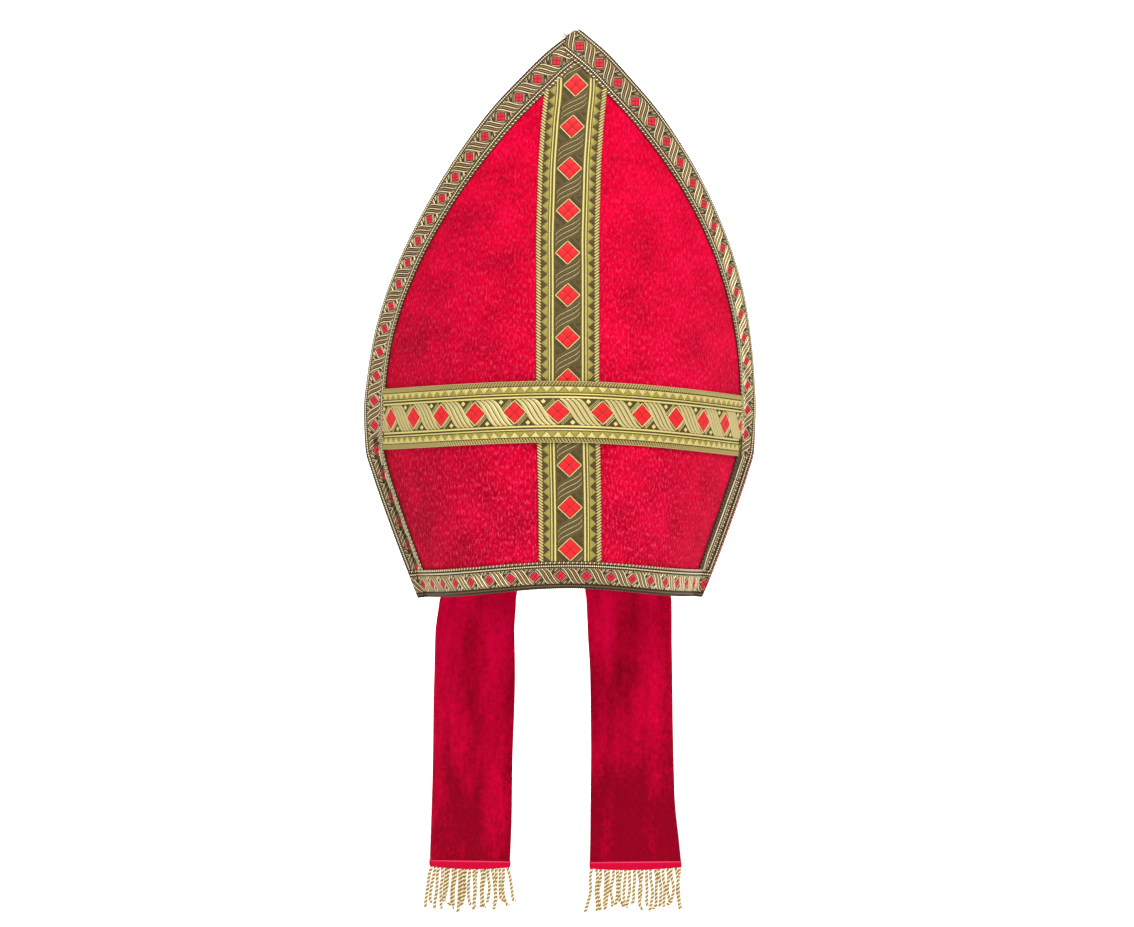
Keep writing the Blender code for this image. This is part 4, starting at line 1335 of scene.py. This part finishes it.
def cordGroup():  # one ply of a twisted cord along each curve: its points move out on a helix
    group = newGroup("twistedCord", {
        "Geometry": "Geometry", "Radius": "Float", "Turn": "Float", "Phase": "Float", "Step": "Float",
        "Material": "Material"})
    make, calc, vector = nodeMaker(group["tree"])
    source = make("NodeGroupInput")
    even = make("GeometryNodeResampleCurve", {
        "Curve": source["Geometry"], "Length": source["Step"]}, mode="LENGTH")
    run = make("GeometryNodeSplineParameter")["Length"]
    tangent = make("GeometryNodeInputTangent")[0]
    normal = make("GeometryNodeInputNormal")[0]
    binormal = vector("CROSS_PRODUCT", {0: tangent, 1: normal})[0]
    angle = calc("MULTIPLY_ADD", run, source["Turn"], source["Phase"])
    steps = []
    for operation, axis in (("COSINE", normal), ("SINE", binormal)):
        size = calc("MULTIPLY", calc(operation, angle), source["Radius"])
        steps.append(vector("SCALE", {0: axis, "Scale": size})[0])
    total = vector("ADD", dict(enumerate(steps)))
    helix = make("GeometryNodeSetPosition", {"Geometry": even[0], "Offset": total[0]})
    ring = make("GeometryNodeCurvePrimitiveCircle", {"Resolution": 6, "Radius": source["Radius"]})
    tube = make("GeometryNodeCurveToMesh", {
        "Curve": helix[0], "Profile Curve": ring["Curve"], "Fill Caps": True})
    smooth = make("GeometryNodeSetShadeSmooth", {"Geometry": tube[0]})
    real = make("GeometryNodeRealizeInstances", {0: smooth[0]})
    painted = make("GeometryNodeSetMaterial", {"Geometry": real[0], "Material": source["Material"]})
    make("NodeGroupOutput", {0: painted[0]})
    return group


cordNodes = cordGroup()


def cordPath(side, k, sway):
    base = fringe["spread"] * (2 * k / (fringe["cords"] - 1) - 1)
    start, slope = fringe["lean"][side]
    lean, bend, wriggle, depth = (
        fringe[key] * sway.uniform(-1, 1) for key in ("sway", "bend", "wriggle", "depth"))
    lean += slope * base + start
    length = fringe["length"] * sway.uniform(*fringe["lengths"])
    curl = sway.uniform(-1, 1)
    layer = (k % 2 - 0.5) * fringe["layer"]
    t = np.linspace(0, 1, 20)
    end = np.maximum(0.0, t - fringe["curlFrom"]) / (1 - fringe["curlFrom"])
    share = base + lean * t + bend * np.sin(3.1 * t) + wriggle * np.sin(9 * t) + curl * 0.050 * end ** 2
    drop = lappet["drop"] - 0.3 * mm + hemSag(base) + length * (t - 0.14 * end ** 2 * abs(curl))
    out = depth * np.sin(2.2 * t) - lappet["thick"] / 2 + layer * np.minimum(1, 6 * t)
    out += curl * fringe["curl"] * end
    return lappetPoint(side, share, drop, out)


def fringePiece(name, side):
    sway = random.Random(fringe["seed"][side])
    curves = curveFrom(name, [cordPath(side, k, sway) for k in range(fringe["cords"])])
    plies = []
    for phase, look in ((0.0, "fringe"), (math.pi, "fringeDark")):
        mesh = underGroup(addObject(name, curves), cordNodes, {
            "Radius": fringe["radius"], "Turn": 2 * math.pi / fringe["lay"], "Phase": phase,
            "Step": fringe["step"], "Material": palette[look]})
        plies.append(addObject(name + look, mesh))
    return joined(name, plies)


lappets = {}
fringes = {}
for side, name in ((-1, "left"), (1, "right")):
    lappets["lappet_" + name] = lappetPiece("lappet_" + name + "_look", side)
    fringes["fringe_" + name] = fringePiece("fringe_" + name + "_look", side)
print("lappets and fringes made")


# Stage

camera = {"distance": 1.80, "height": 0.0906, "yaw": 3.0, "aside": 0.00475, "lens": 84.16, "sensor": 36.0}
# place, aim, size, power
lights = {
    "key": ((0.45, -2.1, 2.0), (0, 0, 0.1), 1.0, 62),
    "fill": ((-1.6, -2.2, 0.6), (0, 0, 0.0), 1.6, 14),
}
studio = {
    "world": 0.48, "floor": (0, 0, -0.60), "floorSize": (14, 14),
    "backdrop": (0.1, 3.6, 1.5), "backdropSize": (9, 6),
}


def addCamera():
    data = bpy.data.cameras.new("camera")
    data.sensor_width = camera["sensor"]
    data.lens = camera["lens"]
    data.clip_end = 60
    made = addObject("camera", data)
    yaw = math.radians(camera["yaw"])
    x = -camera["distance"] * math.sin(yaw) + camera["aside"] * math.cos(yaw)
    y = -camera["distance"] * math.cos(yaw) - camera["aside"] * math.sin(yaw)
    made.location = (x, y, camera["height"])
    made.rotation_euler = (math.pi / 2, 0, -yaw)
    bpy.context.scene.camera = made


def addArea(name, place, aim, size, power):
    data = bpy.data.lights.new(name, "AREA")
    data.shape = "SQUARE"
    data.size = size
    data.energy = power
    made = addObject(name, data)
    made.location = place
    x, y, z = np.array(aim) - np.array(place)
    made.rotation_euler = (math.atan2(math.hypot(x, y), -z), 0, math.atan2(x, -y) + math.pi)


def addPlane(name, place, turn, size, look):
    bpy.ops.mesh.primitive_plane_add(size=1, location=place, rotation=(turn, 0, 0))
    made = bpy.context.active_object
    made.name = name
    made.scale = (*size, 1)
    made.data.materials.append(look)
    return made


def addStudio():
    world = bpy.data.worlds.new("studio")
    world.use_nodes = True
    world.node_tree.nodes["Background"].inputs["Color"].default_value = (1, 1, 1, 1)
    world.node_tree.nodes["Background"].inputs["Strength"].default_value = studio["world"]
    bpy.context.scene.world = world
    for name, values in lights.items():
        addArea(name, *values)
    floorLook = plainLook("floorLook", (244, 244, 244), 0.9, emission=0.25)
    floor = addPlane("floor", studio["floor"], 0, studio["floorSize"], floorLook)
    backdropLook = plainLook("backdropLook", (250, 250, 250), 0.9, emission=1.0)
    backdrop = addPlane("backdrop", studio["backdrop"], math.pi / 2, studio["backdropSize"], backdropLook)


addCamera()
addStudio()
bpy.context.scene.view_settings.view_transform = "Standard"

slots = {
    "panel": "plush", "edge": "narrow_braid", "rim": "narrow_braid", "galloon": "wide_galloon",
    "lappet": "lappet_plush", "fringe": "fringe_cord",
}
for group in (panels, trims, lappets, fringes):
    for node, piece in group.items():
        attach(piece, "root")
        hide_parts(node)
        next(slot for word, slot in slots.items() if word in node)
for name in ("left", "right"):
    lappets["lappet_" + name]

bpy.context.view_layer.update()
for group in (panels, trims, lappets, fringes):
    for node, piece in group.items():
        print(node, sum(len(face.vertices) - 2 for face in piece.data.polygons))
